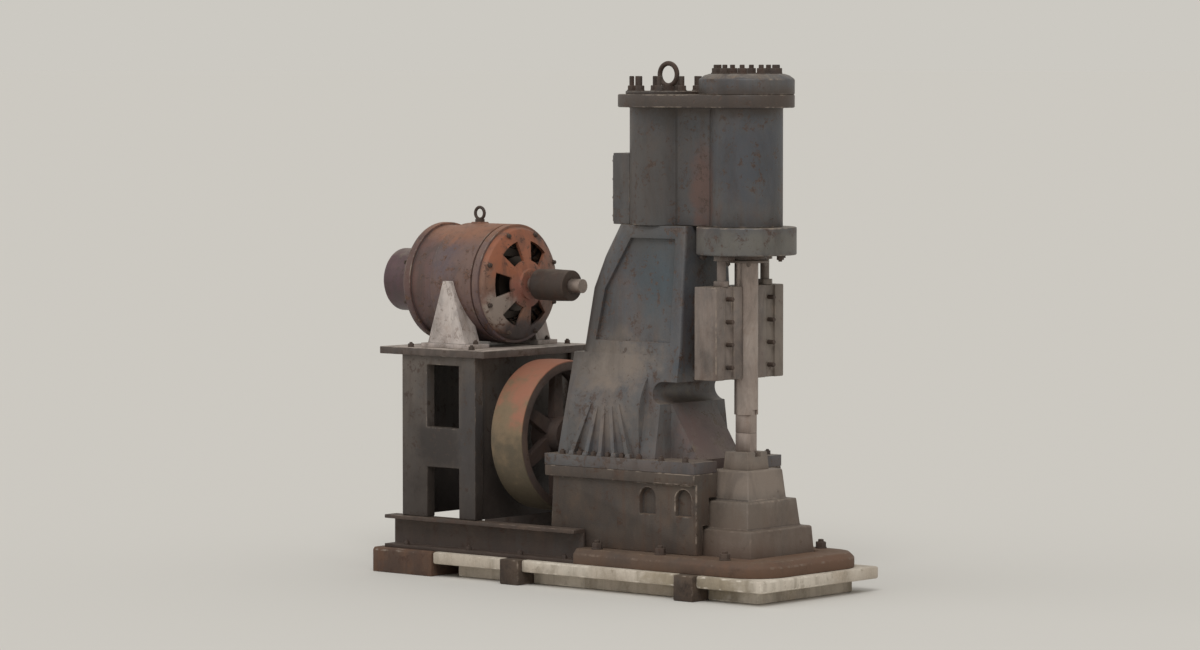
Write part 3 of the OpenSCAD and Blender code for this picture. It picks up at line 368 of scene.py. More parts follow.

# %% [markdown]
# ## Column, head and guide
# The frame carries a blue-grey machine enamel, brushed on over filler and long since
# chalked. Its stains are placed one by one: red primer between the barrels and on the
# shoulders, and brown along the head's top flange. Beside them lie painted light and
# shade: painted warm light in tan on the column's rounded back and the crank housing, a
# painted highlight along the flange of the joint, a painted shadow in dark blue on the
# column's front under the head, and a painted sky reflection in blue on the front of the
# ram's barrel. The guide is bare iron in splashed oil, which darkens it and gives it
# back some sheen.

# %% Enamel and oiled iron
# brushed and chalked, in the coat of WEATHER: a dull sheen, with primer where it is gone
FINISHES["frame_paint"] = weathered(
    "chalked_machine_enamel", streaked=0.5, patch_mm=460, grain_mm=9, rust_rough=0.85,
    cool="#3b4650", warm="#604d45", mottled=0.5, flaking=0.8, dust="#85786a", dusty=0.55,
    seed=7.6, stains=(
        # painted warm light: the tan on this line and the next lies on the column's rounded back
        # and the crank housing
        ((-0.66, 0, 1.1), (0.38, 0.42, 0.19), "#7d6f62", 0.7),
        ((-0.66, 0, 0.86), (0.36, 0.42, 0.2), "#75675b", 0.7),
        ((-0.16, 0, 0.78), (0.22, 0.3, 0.26), "#624d48", 0.8),
        # painted highlight: a paler band along the flange of the joint
        ((-0.42, 0, 0.62), (0.7, 0.5, 0.09), "#5d4f49", 0.7),
        ((-0.88, 0, 1.35), (0.22, 0.4, 0.46), "#3a3532", 0.85),
        # painted shadow: dark blue on the column's front, under the head
        ((-0.42, 0, 1.58), (0.2, 0.4, 0.3), "#3c484f", 0.75),
        # painted sky reflection: a blue cast on the front of the ram's barrel
        ((0.06, 0, 2.12), (0.22, 0.3, 0.3), "#41464f", 0.6),
        ((-0.5, 0, 2.0), (0.34, 0.4, 0.5), "#504a46", 0.6),
        ((-0.17, -0.16, 1.98), (0.1, 0.14, 0.26), "#624840", 0.8),
        ((-0.2, 0, 2.39), (1.0, 0.5, 0.09), "#443830", 0.9),
        ((0.05, 0, 1.7), (0.4, 0.4, 0.09), "#67635b", 0.7)))
# sand-cast, then scraped where the ram runs: oil keeps it a warm, half-dull grey
FINISHES["guide_iron"] = weathered(
    "oiled_grey_iron", coat="#665a53", faded="#7b6f67", rust="#5d473a", streaked=0.45,
    patch_mm=260, rust_rough=0.85, relief=0.45, seed=8.0,
    stains=(((0.02, 0.2, 1.27), (0.2, 0.13, 0.4), "#786e64", 0.75),))
print("Frame finishes:", list(FINISHES)[6:])

# %% [markdown]
# ## Turned metal
# The ram, the dies, the shafts and the bush were turned or ground bright, and have gone
# dull under a warm film. They are metal to light, so metallic stays high with the
# default index, and a ground face's roughness of 0.2 to 0.3 is raised for the film. The
# tool marks are a fraction of a millimetre, too fine to show, so the grain stays shallow.

# %% Steel and bronze
# turned and tarnished: a soft, warm shine
FINISHES["ram_steel"] = weathered(
    "tarnished_turned_steel", coat="#968880", faded="#a89b93", rust="#6f5a4c", rust_from=0.68,
    streaked=0.35, patch_mm=240, grain_mm=5, rough=0.38, rust_rough=0.8, metallic=0.7,
    relief=0.25, sooted=0.3, cool="#7c7976", warm="#83695a", worn="#b0a59c", seed=9.0)
# bored and reamed: brown-gold, with a soft shine
FINISHES["bush_bronze"] = weathered(
    "aged_turned_bronze", coat="#8a7350", faded="#9c8661", rust="#5f4b30", rust_from=0.62,
    streaked=0.3, patch_mm=160, grain_mm=4, rough=0.4, rust_rough=0.7, metallic=0.9,
    relief=0.2, seed=10.0)
# a turned shaft; its core of sheets gets its own colour further down
FINISHES["rotor"] = weathered(
    "steel_shaft_and_iron_core", coat="#8d8078", faded="#9f928a", rust="#6f5a4c",
    rust_from=0.68, streaked=0.3, patch_mm=200, grain_mm=5, rough=0.4, rust_rough=0.8,
    metallic=0.6, relief=0.2, seed=19.0)
print("Turned finishes:", list(FINISHES)[-3:])

# %% [markdown]
# ## Wheel, stand and table
# The wheel is a rusted casting with no paint left. The stand's castings keep a thin grey
# enamel that gets darker towards the bottom, and its cross bar is nearly black. The
# table is dark on its edges and pale above, where dust and grit lie thick.

# %% Rusted wheel and faded enamel
# sand-cast and bare: rough and dark brown
FINISHES["wheel_iron"] = weathered(
    "rusted_wheel_iron", coat="#463833", faded="#54443c", rust="#4c3528", rust_from=0.56,
    grain_mm=8, rough=0.7, rust_rough=0.9, relief=0.6, dusty=0.0, seed=11.0)
# brushed thin over the casting: grey above, darker towards the bottom
FINISHES["stand_paint"] = weathered(
    "faded_grey_enamel", coat="#514943", faded="#605750", rust="#46372e", rust_from=0.58,
    streaked=0.5, patch_mm=320, grain_mm=8, rough=0.6, rust_rough=0.86, flaking=0.8,
    low_dirt="#2c2420", dirt_top=1.25, seed=12.0, stains=(
        ((-1.65, -0.39, 0.66), (0.18, 0.1, 0.16), "#261f1c", 0.9),
        ((-1.45, -0.39, 0.7), (0.08, 0.1, 0.4), "#3c3a3d", 0.7)))
# brushed on and buried: dark edges under a pale, matte layer
FINISHES["table_paint"] = weathered(
    "dusty_dark_enamel", coat="#4f443e", faded="#5c514a", rust="#43352c", patch_mm=240,
    rough=0.65, flaking=0.7, worn="#8b8077", dust="#a79b91", dusty=1.0, seed=13.0)
print("Stand finishes:", list(FINISHES)[-3:])

# %% [markdown]
# ## Motor
# The motor's front is the most orange thing on the machine: primer and scale, with a
# pale patch low on one side and a painted shadow in blue-black along its bottom. Its
# frame keeps a dark enamel that has rusted where rain lands, the cap over the slip rings
# is red-brown, and the feet are pale grey. The heads of the winding are cotton tape
# brushed with shellac, which dries to a brown skin with some shine.

# %% Primer, enamel and taped coils
# primer on scale: warm and matte, in patches of several coats
FINISHES["motor_paint"] = weathered(
    "orange_primer_and_scale", coat="#6f5044", faded="#80604f", rust="#593a2d", rust_from=0.57,
    streaked=0.45, patch_mm=220, rough=0.65, relief=0.5, cool="#4f4540", warm="#94593c",
    mottled=0.6, flaking=0.7, dusty=0.2, seed=14.0, stains=(
        ((-1.42, -0.06, 1.63), (0.16, 0.28, 0.18), "#94583c", 0.85),
        ((-1.42, 0.02, 1.43), (0.16, 0.2, 0.1), "#8a5548", 0.7),
        ((-1.42, -0.19, 1.33), (0.14, 0.12, 0.12), "#968a80", 0.85),
        # painted shadow: blue-black along the bottom of the front shield
        ((-1.42, 0.05, 1.2), (0.16, 0.28, 0.1), "#3c3c40", 0.8)))
# brushed enamel, dark and faintly plum, rusted orange on top
FINISHES["motor_dark"] = weathered(
    "dull_dark_enamel", coat="#54454a", faded="#65524f", rust="#694939", rust_from=0.55,
    patch_mm=260, rough=0.55, rust_rough=0.86, cool="#433a44", warm="#7a553f", mottled=0.5,
    flaking=0.8, dust="#8a6450", dusty=0.6, seed=15.0, stains=(
        ((-1.7, 0, 1.74), (0.4, 0.34, 0.13), "#8a5b40", 0.85),
        ((-1.56, -0.2, 1.5), (0.14, 0.2, 0.25), "#70564a", 0.65),
        ((-1.92, -0.2, 1.5), (0.14, 0.25, 0.25), "#5e4139", 0.75)))
# brushed enamel on a smooth pressing: the least weathered sheen
FINISHES["cap_paint"] = weathered(
    "dull_red_brown_enamel", coat="#483036", faded="#5a3f42", rust="#3a2622", patch_mm=180,
    grain_mm=6, rust_rough=0.8, relief=0.35, flaking=0.7, seed=16.0)
# wound cotton in shellac: brown, ribbed, with some shine
FINISHES["winding"] = weathered(
    "shellacked_cotton_tape", coat="#4b3a30", faded="#5b4839", rust="#33261f", streaked=0.2,
    patch_mm=120, grain_mm=5, rough=0.45, rust_rough=0.6, relief=0.6, seed=17.0)
# a later pale coat: the brightest paint on the machine
FINISHES["foot_paint"] = weathered(
    "pale_grey_enamel", coat="#a89c95", faded="#bcb1aa", rust="#7a6658", rust_from=0.64,
    patch_mm=180, rough=0.55, rust_rough=0.85, relief=0.35, cool="#8b8a8b", warm="#9a8472",
    flaking=0.45, dust="#b5aaa1", seed=18.0)
print("Motor finishes:", list(FINISHES)[-5:])

# %% [markdown]
# ## Every node gets its finish
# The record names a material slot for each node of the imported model, and FINISHES uses
# the same names, so one loop dresses them all. The rotor alone is of two metals, and
# gets a finish of its own.

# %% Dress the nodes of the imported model
slots = {part["node"]: part["material_slot"] for part in frame["record"]["subparts"]}
for node, slot in slots.items():
    for holder in frame["nodes"][node].material_slots:
        holder.material = FINISHES["rotor" if node == "rotor" else slot]
print("Dressed", len(slots), "nodes in", len(set(slots.values())), "slots")

# %% [markdown]
# ## The wheel's belt face
# A belt keeps the rim of its wheel rubbed, and once it stops, that face takes a fresh
# rust while the arms stay dark. It could be a second material on the rim's faces, but
# a distance from the shaft's axis tells the two apart with no faces to pick out. The
# rim's rust runs by height from orange at the top through khaki to dark at the bottom,
# broken by blotches: the rust is real, and its ramp by height is painted light on top
# and painted shade below.


# %% Open a finish, and measure from an axis
def opened(slot):
    """A finish's tree, its shader, and the colour that feeds the shader."""
    tree = FINISHES[slot].node_tree
    shader = next(node for node in tree.nodes if node.type == "BSDF_PRINCIPLED")
    return tree, shader, shader.inputs["Base Color"].links[0].from_socket


def from_axis(tree, centre):
    """Where a point lies from a centre, and its distance from the X axis through it."""
    place = add(tree, "ShaderNodeTexCoord").outputs["Object"]
    about = add(tree, "ShaderNodeVectorMath", {"operation": "SUBTRACT", 1: centre},
                i0=place).outputs[0]
    across = add(tree, "ShaderNodeVectorMath", {"operation": "MULTIPLY", 1: (0, 1, 1)},
                 i0=about).outputs[0]
    return about, add(tree, "ShaderNodeVectorMath", {"operation": "LENGTH"},
                      i0=across).outputs[1]


# %% Rubbed rust on the rim alone
low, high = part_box("flywheel")
wheel_mid, wheel_reach = (low + high) / 2, (high.z - low.z) / 2
BLOTCH_MM = 130
tree, shader, arms = opened("wheel_iron")
about, distance = from_axis(tree, wheel_mid)
blotches = add(tree, "ShaderNodeTexNoise", {"Scale": 1000 / BLOTCH_MM, "Detail": 7.0,
                                            "Roughness": 0.65}, Vector=about).outputs[0]
# painted light and shade: the rim's rust ramps with height, orange on top and dark below, broken by
# blotches
height = add(tree, "ShaderNodeSeparateXYZ", i0=about).outputs[2]
rust_and_light_level = add(tree, "ShaderNodeMath", {"operation": "MULTIPLY_ADD", 1: 0.9}, i0=blotches,
            i2=height).outputs[0]
rim_rust_and_light, _ = lay(tree, "#564c3c", "#75634c", rust_and_light_level, 0.28, 0.56)
rim_rust_and_light, _ = lay(tree, rim_rust_and_light, "#92614c", rust_and_light_level, 0.54, 0.76)
belt_face = wheel_reach - 0.012
colour, _ = lay(tree, arms, rim_rust_and_light, distance, belt_face, belt_face + 0.004)
tree.links.new(colour, shader.inputs["Base Color"])
print("The belt face starts", round(belt_face, 3), "m from the axis")

# %% [markdown]
# ## Coils of the winding
# The heads of the stator's winding are taped coils side by side, seen only through the
# shields' windows. Modelled, they would be thousands of faces behind small openings.
# The angle about the motor's axis does as well: its sine, thirty-six times round, leaves
# a dark gap between a coil and the next and rounds their crowns in the bump.

# %% Taped coils round the motor's axis
COILS = 36
low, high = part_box("rotor")
axle = (0, 0, (low.z + high.z) / 2)
tree, shader, tape = opened("winding")
about, _ = from_axis(tree, axle)
turned = add(tree, "ShaderNodeMapping", {"Rotation": (0, math.radians(90), 0)},
             Vector=about).outputs[0]
angle = add(tree, "ShaderNodeTexGradient", {"gradient_type": "RADIAL"}, Vector=turned).outputs[1]
wave = add(tree, "ShaderNodeMath", {"operation": "MULTIPLY", 1: COILS * 2 * math.pi},
           i0=angle).outputs[0]
wave = add(tree, "ShaderNodeMath", {"operation": "SINE"}, i0=wave).outputs[0]
colour, crown = lay(tree, "#1d1613", tape, wave, -0.9, 0.2)
raised = add(tree, "ShaderNodeBump", {"Strength": 0.8, "Distance": 0.006}, Height=crown,
             Normal=shader.inputs["Normal"].links[0].from_socket).outputs[0]
tree.links.new(colour, shader.inputs["Base Color"])
tree.links.new(raised, shader.inputs["Normal"])
print("Coils round the axis:", COILS)

# %% [markdown]
# ## The rotor's core
# Only the shaft of the rotor is turned bright. Its core is a pack of dark iron sheets
# punched from plate, so the finish changes at the shaft's radius, and fine rings along
# the axis mark the sheets. Real sheets are half a millimetre thick, too fine to show,
# so they are drawn at four.

# %% A bright shaft in a dark core
SHEET_MM, SHAFT_MM = 4, 57
tree, shader, bright = opened("rotor")
about, distance = from_axis(tree, axle)
along = add(tree, "ShaderNodeSeparateXYZ", i0=about).outputs[0]
sheets = add(tree, "ShaderNodeMath", {"operation": "MULTIPLY", 1: 2000 * math.pi / SHEET_MM},
             i0=along).outputs[0]
sheets = add(tree, "ShaderNodeMath", {"operation": "SINE"}, i0=sheets).outputs[0]
core, _ = lay(tree, "#332c27", "#574d45", sheets, -0.6, 0.6)
colour, _ = lay(tree, bright, core, distance, (SHAFT_MM - 2) / 1000, (SHAFT_MM + 3) / 1000)
tree.links.new(colour, shader.inputs["Base Color"])
print("The core is dark beyond", SHAFT_MM, "mm from the axis")

# %% [markdown]
# ## Stones in the concrete
# Concrete is stones in cement. Its skin hides them until weather takes it off, and then
# they show as darker rounds of about two centimetres. The cells of a Voronoi texture
# have that look, and a broad noise says where the skin is gone. Both go into one
# pattern, so that each stone comes through whole and shrinks towards sound skin.

# %% Stones where the skin is worn
STONE_MM, BARE_MM = 18, 180
tree, shader, skin = opened("concrete")
place = add(tree, "ShaderNodeTexCoord").outputs["Object"]
cells = add(tree, "ShaderNodeTexVoronoi", {"Scale": 1000 / STONE_MM},
            Vector=place).outputs["Distance"]
bare = add(tree, "ShaderNodeTexNoise", {"Scale": 1000 / BARE_MM, "Detail": 6.0,
                                        "Roughness": 0.65}, Vector=place).outputs[0]
shows = add(tree, "ShaderNodeMath", {"operation": "MULTIPLY_ADD", 1: -0.3}, i0=cells,
            i2=bare).outputs[0]
colour, stones = lay(tree, skin, "#8c8272", shows, 0.46, 0.54, 0.4)
proud = add(tree, "ShaderNodeBump", {"Strength": 0.6, "Distance": 0.003}, Height=stones,
            Normal=shader.inputs["Normal"].links[0].from_socket).outputs[0]
tree.links.new(colour, shader.inputs["Base Color"])
tree.links.new(proud, shader.inputs["Normal"])
print("Stones of about", STONE_MM, "mm")

# %% [markdown]
# ## Rounded edges
# No edge of a casting is sharp: the pattern maker rounds it so that the sand holds,
# and years of knocks round it further. The solid model leaves its edges sharp, so a
# copy of each piece is merged, its flat faces are joined, and a bevel on the sharp
# edges gives that radius and the thin highlight along it. A bevel in the shader would
# be less work, but its highlight has no shape of its own and doesn't leave Blender. The
# bevel's faces are marked in two attributes: where the surface turns outwards the
# finish is rubbed bare, and where it turns inwards the corner is darkened.


# %% Mark where a rounded piece wears
def only(piece):
    """Leaves this one object selected and active."""
    bpy.ops.object.select_all(action="DESELECT")
    piece.select_set(True)
    bpy.context.view_layer.objects.active = piece


def mark_wear(piece):
    """Marks the bevel's faces, which hold material 1, and takes that material away."""
    form = bmesh.new()
    form.from_mesh(piece.data)
    turns = [sum(edge.calc_face_angle_signed(0) for edge in face.edges) for face in form.faces]
    form.free()
    rubbed = piece.data.attributes.new("worn_edge", "FLOAT", "FACE")
    inward_corner = piece.data.attributes.new("crevice", "FLOAT", "FACE")
    for face, turn in zip(piece.data.polygons, turns):
        bevelled = face.material_index == 1
        rubbed.data[face.index].value = float(bevelled and turn > 0)
        inward_corner.data[face.index].value = float(bevelled and turn <= 0)
        face.material_index = 0
    piece.data.materials.pop(index=1)


print("Wear is marked on the faces that a bevel makes")

# %% Copy a piece and round its edges
MERGE_MM = 0.02  # corners of the loose triangles that lie closer than this become one
# faces that turn by less than FLAT are joined, and edges past SHARP are bevelled
FLAT, SHARP = math.radians(0.5), math.radians(33)
SMOOTH_CASTING = math.radians(28)  # up to here an edge is shaded round


def rounded(node, radius_mm, body="frame"):
    """A copy of a node with its sharp edges rounded, which then stands for it."""
    source, slot = frame["nodes"][node], slots[node]
    piece = bpy.data.objects.new(node + "_cast", source.data.copy())
    piece.data.materials.append(FINISHES[slot])
    bpy.context.collection.objects.link(piece)
    only(piece)
    bpy.ops.object.mode_set(mode="EDIT")
    bpy.ops.mesh.select_all(action="SELECT")
    bpy.ops.mesh.remove_doubles(threshold=MERGE_MM / 1000)
    bpy.ops.mesh.dissolve_limited(angle_limit=FLAT)
    bpy.ops.object.mode_set(mode="OBJECT")
    bevel = piece.modifiers.new("rounded", "BEVEL")
    bevel.width = radius_mm / 1000
    bevel.segments = 2
    bevel.limit_method = "ANGLE"
    bevel.angle_limit = SHARP
    bevel.material = 1
    bpy.ops.object.modifier_apply(modifier="rounded")
    mark_wear(piece)
    bpy.ops.object.shade_smooth_by_angle(angle=SMOOTH_CASTING)
    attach(piece, body)
    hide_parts(node)
    print(node, "rounded by", radius_mm, "mm:", len(piece.data.polygons), "faces")


# %% [markdown]
# ## How far each piece is rounded
# Concrete and large castings have the largest radii, about a centimetre; plate and
# rolled rail have hardly any. They are judged, in millimetres, by the light line that
# edges of such pieces show. First comes what lies on the ground.

# %% Round the pieces on the ground
for node, radius_mm in {"plinth": 10, "bearer_front": 6, "bearer_middle": 6, "rear_sill": 5,
                        "bed_plate": 6, "rail_right": 2, "rail_left": 2, "anvil_block": 9,
                        "sow_block": 3, "lower_die": 2}.items():
    rounded(node, radius_mm)

# %% [markdown]
# ## Frame and cylinders
# The column is the largest casting and has the widest radius of the frame. The rear
# cover and the gland were turned after casting, and their edges only broken.

# %% Round the frame and its cylinders
for node, radius_mm in {"pedestal": 6, "column": 7, "ram_guide": 5, "guide_stay_right": 3,
                        "guide_stay_left": 3, "cylinder_block": 6, "lower_cover": 6, "gland": 3,
                        "ram_cylinder_cover": 5, "compressor_cover": 3, "air_chest": 4,
                        "crank_bearing": 4}.items():
    rounded(node, radius_mm)

# %% [markdown]
# ## Motor and stand
# The stand's sides are castings. The table is plate, and the motor's shields and feet
# are small castings with thin walls, so their radii are small.

# %% Round the motor and its stand
for node, radius_mm in {"motor_table": 3, "stand_side_right": 6, "stand_side_left": 6,
                        "motor_frame": 4, "front_shield": 3, "rear_shield": 3,
                        "slip_ring_cap": 5, "motor_foot_right": 3,
                        "motor_foot_left": 3}.items():
    rounded(node, radius_mm)

# %% [markdown]
# ## What turns and slides
# These three ride on bodies of their own, so that they move with their joints: the
# wheel on the crankshaft, the pulley on the rotor and the upper die on the ram.

# %% Round what turns and slides
for node, radius_mm, body in (("flywheel", 4, "crankshaft"), ("motor_pulley", 3, "rotor"),
                              ("upper_die", 2, "ram")):
    rounded(node, radius_mm, body)

# %% [markdown]
# ## Feet of the fan ribs
# Where a rib runs into a flange, the pattern maker lets it flare, so that the iron
# feeds both as it cools. It is too small for the solid model, and a fillet along the
# real curve would take a boolean. One flare is a low block whose top is drawn in and
# whose edges are bevelled; copies stand where the ribs of the fan meet the joint. A new
# primitive is selected all over, so everything is let go before a face is picked.


# %% Model one flare
def pick_end(piece, way):
    """Opens edit mode with only the faces selected that look along way."""
    only(piece)
    bpy.ops.object.mode_set(mode="EDIT")
    bpy.ops.mesh.select_mode(type="FACE")
    bpy.ops.mesh.select_all(action="DESELECT")
    bpy.ops.object.mode_set(mode="OBJECT")
    for face in piece.data.polygons:
        face.select = face.normal.dot(Vector(way)) > 0.9
    bpy.ops.object.mode_set(mode="EDIT")


def flare(long, wide, high):
    """A low block on the origin, its top smaller than its foot, with bevelled edges."""
    bpy.ops.object.select_all(action="DESELECT")
    bpy.ops.mesh.primitive_cube_add(size=1, location=(0, 0, 0.5))
    block = bpy.context.object
    bpy.ops.transform.resize(value=(long, wide, high), center_override=(0, 0, 0))
    bpy.ops.object.transform_apply()
    pick_end(block, (0, 0, 1))
    bpy.ops.transform.resize(value=(0.6, 0.82, 1))
    bpy.ops.mesh.select_all(action="SELECT")
    bpy.ops.mesh.bevel(offset=0.003, segments=2)
    bpy.ops.object.mode_set(mode="OBJECT")
    print("A flare has", len(block.data.polygons), "faces")
    return block


# %% [markdown]
# ## Copies of one master
# What repeats is modelled once on the origin. Each copy has its own mesh, turned and
# moved to its place, and the copies of one joint become one piece, so that a nut isn't
# an object by itself. Array modifiers would do for a row, but not for rings that face
# every way.


# %% Join copies of a master into one piece
SMOOTH_FASTENER = math.radians(32)


def joined(master, name, moves, slot):
    """Copies of a master's mesh, each moved by its matrix, as one smooth piece."""
    copies = []
    for move in moves:
        copy = bpy.data.objects.new(name, master.data.copy())
        copy.data.transform(move)
        bpy.context.collection.objects.link(copy)
        copies.append(copy)
    bpy.data.objects.remove(master)
    only(copies[0])
    for copy in copies:
        copy.select_set(True)
    bpy.ops.object.join()
    piece = bpy.context.object
    piece.name = name
    bpy.ops.object.shade_smooth_by_angle(angle=SMOOTH_FASTENER)
    piece.data.materials.clear()
    piece.data.materials.append(FINISHES[slot])
    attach(piece, "frame")
    print(name, "holds", len(copies), "copies,", len(piece.data.polygons), "faces")


# %% [markdown]
# ## The fan's ten flares
# The ribs spread from one point, ten degrees apart, five on each side of the machine.
# So a foot's place follows from its rib's angle and length, and no place is typed twice.

# %% Set a flare under every rib of the fan
sides = (-1, 1)
joint_top = 0.650  # top of the joint between the column and its pedestal
fan_mid, rib_reach, rib_y = -0.655, 0.5275, 0.3145  # the fan's middle, a rib's length, its side
rib_feet = [(fan_mid + rib_reach * math.sin(math.radians(turn)), side * rib_y)
            for side in sides for turn in (-20, -10, 0, 10, 20)]
sunk = 0.0005  # into the joint's flange, so that no gap shows
joined(flare(long=0.036, wide=0.045, high=0.022), "rib_feet",
       [Matrix.Translation((x, y, joint_top - sunk)) for x, y in rib_feet], "frame_paint")

# %% [markdown]
# ## One nut on its stud
# Flanged joints like these are held by studs with hexagon nuts on plain washers. All
# three sizes follow from the nut's width across flats, as they do in the standards. It
# is three primitives, each with the edge of its upper end bevelled: the washer's and
# the stud's a little, and the nut's by as much as a lathe takes off its corners.


# %% Model a washer, a nut and a stud
def nut_and_stud(flats_mm, rise):
    """A washer, a nut and a stud along +Z. rise is the stud's height over the flats."""
    flats = flats_mm / 1000
    washer = flats * 0.14
    made = []
    # corners, radius, where it starts, its height, its bevel over the flats, and its steps
    for corners, radius, foot, high, bevel, segments in (
            (18, flats * 0.62, 0, washer, 0.03, 1),
            (6, flats / 2 / math.cos(math.radians(30)), washer, flats * 0.55, 0.07, 2),
            (12, flats * 0.31, 0, flats * rise, 0.06, 1)):
        bpy.ops.object.select_all(action="DESELECT")
        bpy.ops.mesh.primitive_cylinder_add(vertices=corners, radius=radius, depth=high,
                                            location=(0, 0, foot + high / 2))
        made.append(bpy.context.object)
        pick_end(made[-1], (0, 0, 1))
        bpy.ops.mesh.bevel(offset=flats * bevel, segments=segments)
        bpy.ops.object.mode_set(mode="OBJECT")
    for one in made:
        one.select_set(True)
    bpy.ops.object.join()
    bpy.ops.object.transform_apply()
    return bpy.context.object


# %% [markdown]
# ## Where nuts go
# A nut's place is where its washer lies and which way it faces. Round covers have theirs
# on a circle, and flat joints in a row along each side. Nobody lines up the flats of
# nuts, so each is turned some degrees further than the last.


# %% Set many nuts at once
UP, DOWN, FORWARD, BACK = (0, 0, 1), (0, 0, -1), (1, 0, 0), (-1, 0, 0)
FURTHER = 17  # degrees


def set_of_nuts(name, flats_mm, places, slot="rail_steel", rise=0.95):
    """One piece of many nuts. places holds where each one sits and which way it faces."""
    moves = []
    for where, way in places:
        facing = Vector(UP).rotation_difference(Vector(way)).to_matrix().to_4x4()
        turn = Matrix.Rotation(math.radians(FURTHER * len(moves)), 4, "Z")
        moves.append(Matrix.Translation(Vector(where)) @ facing @ turn)
    joined(nut_and_stud(flats_mm, rise), name, moves, slot)


def ring(centre, radius, count, start, way):
    """Places on a circle round an axis that runs along way, which is X or Z."""
    found = []
    for i in range(count):
        turn = math.radians(start + i * 360 / count)
        a, b = radius * math.cos(turn), radius * math.sin(turn)
        offset = (a, b, 0) if way[2] else (0, a, b)
        found.append((Vector(centre) + Vector(offset), way))
    return found


def rows(stations, y, z):
    """Places in a row along X on each side, facing up."""
    return [((x, side * y, z), UP) for side in sides for x in stations]


print("Two rows of two:", rows((0, 1), y=1, z=0))

# %% [markdown]
# ## Nuts of the cylinders
# Air pushes the covers off, so they carry heavy nuts: ten on each top cover, with tall
# studs at the rear, and smaller ones under the lower cover. The gland round the ram's
# rod is only squeezed, so four small nuts hold it, and so do eight on the chest behind.

# %% Set the nuts of the cylinders
low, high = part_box("ram_cylinder_cover")
set_of_nuts("ram_cover_nuts", 40, ring((0, 0, high.z), radius=0.150, count=10, start=12, way=UP),
            rise=1.1)
low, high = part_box("compressor_cover")
rear_mid = (low.x + high.x) / 2
set_of_nuts("compressor_cover_nuts", 38,
            ring((rear_mid, 0, high.z), radius=0.180, count=10, start=7, way=UP), rise=1.9)
low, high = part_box("lower_cover")
set_of_nuts("lower_cover_nuts", 30,
            ring((0, 0, low.z), radius=0.208, count=5, start=-72, way=DOWN))
low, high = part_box("gland")
set_of_nuts("gland_nuts", 20, ring((0, 0, low.z), radius=0.09, count=4, start=45, way=DOWN),
            "guide_iron")
low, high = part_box("air_chest")
lid_y, lid_foot, lid_pitch = 0.085, 0.04, 0.09  # half the rows' spacing, first nut, and step
set_of_nuts("chest_nuts", 18, [((low.x, side * lid_y, low.z + lid_foot + lid_pitch * i), BACK)
                               for side in sides for i in range(4)])

# %% [markdown]
# ## Nuts of the frame and the bed
# The column stands on its pedestal by a row of nuts along each side of the joint, set
# between the fan's ribs so that a spanner gets in. The bed is held to the concrete by
# six foundation bolts, the largest on the machine, and the crank's bearing by a ring.

# %% Set the nuts of the frame and the bed
low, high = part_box("column")
edge_to_nut = 0.021
set_of_nuts("joint_nuts", 26, rows((-0.9, -0.79, -0.7, -0.61, -0.52, -0.41, -0.27, -0.12),
                                   y=high.y - edge_to_nut, z=joint_top))
low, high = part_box("bed_plate")
set_of_nuts("foundation_nuts", 46, rows((0.17, -0.23, -0.63), y=0.375, z=high.z))
low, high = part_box("crank_bearing")
bearing_flange = (high.x - 0.028, 0, (low.z + high.z) / 2)
set_of_nuts("bearing_nuts", 28, ring(bearing_flange, radius=0.122, count=6, start=30, way=BACK))

# %% [markdown]
# ## Nuts of the motor and its stand
# Eight small nuts hold each end shield to the motor's frame. Two stand on each of its
# feet, two on each side of the table, and a row of four on each rail, where the stand
# is bolted down.

# %% Set the nuts of the motor and its stand
low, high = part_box("motor_foot_right")
foot_x, toe, foot_thick = (low.x + high.x) / 2, 0.149, 0.022
set_of_nuts("foot_nuts", 22, rows((foot_x - toe, foot_x + toe), y=0.272, z=low.z + foot_thick))
low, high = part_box("motor_frame")
shield_rim = 0.030
for name, x, way in (("front_shield_nuts", high.x + shield_rim, FORWARD),
                     ("rear_shield_nuts", low.x - shield_rim, BACK)):
    set_of_nuts(name, 20, ring((x, 0, axle[2]), radius=0.263, count=8, start=22.5, way=way))
low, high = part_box("motor_table")
set_of_nuts("table_nuts", 26, rows((-1.46, -1.87), y=0.366, z=high.z))
low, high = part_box("rail_right")
rail_flange = 0.018
set_of_nuts("rail_nuts", 24, rows((-0.82, -1.11, -1.45, -1.87), y=0.398, z=low.z + rail_flange))

# %% [markdown]
# ## Studs of the missing guide cap
# The guide is open at its front: the cap that closed it has gone, and its studs are left
# in the grooves of the two cheeks. A stud is a round bar with a domed end. The bar is
# laid along X before its end is drawn out, because its end faces forward.


# %% Model one stud and set it in the grooves
def stud(radius, length):
    """A round bar along +X from the origin, with a domed far end."""
    bpy.ops.object.select_all(action="DESELECT")
    bpy.ops.mesh.primitive_cylinder_add(vertices=16, radius=radius, depth=length,
                                        location=(length / 2, 0, 0),
                                        rotation=(0, math.radians(90), 0))
    bar = bpy.context.object
    bpy.ops.object.transform_apply()
    pick_end(bar, (1, 0, 0))
    dome = radius * 0.3
    bpy.ops.mesh.inset(thickness=dome)
    bpy.ops.transform.translate(value=(dome, 0, 0))
    bpy.ops.object.mode_set(mode="OBJECT")
    return bar


groove_x, cheek_y, first_stud, stud_pitch = 0.010, 0.160, 0.06, 0.11
stud_radius, stud_length = 0.011, 0.036
low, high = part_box("ram_guide")
joined(stud(stud_radius, stud_length), "cap_studs",
       [Matrix.Translation((groove_x, side * cheek_y, low.z + first_stud + stud_pitch * i))
        for side in sides for i in range(4)], "rail_steel")
print("Studs stand in the grooves from z =", round(low.z + first_stud, 3))

# %% [markdown]
# ## The floor
# The machine stands on a plain, pale floor. It runs on for kilometres, so that no edge
# of it shows, and has no shine, because a mirrored sky would draw a horizon across it.

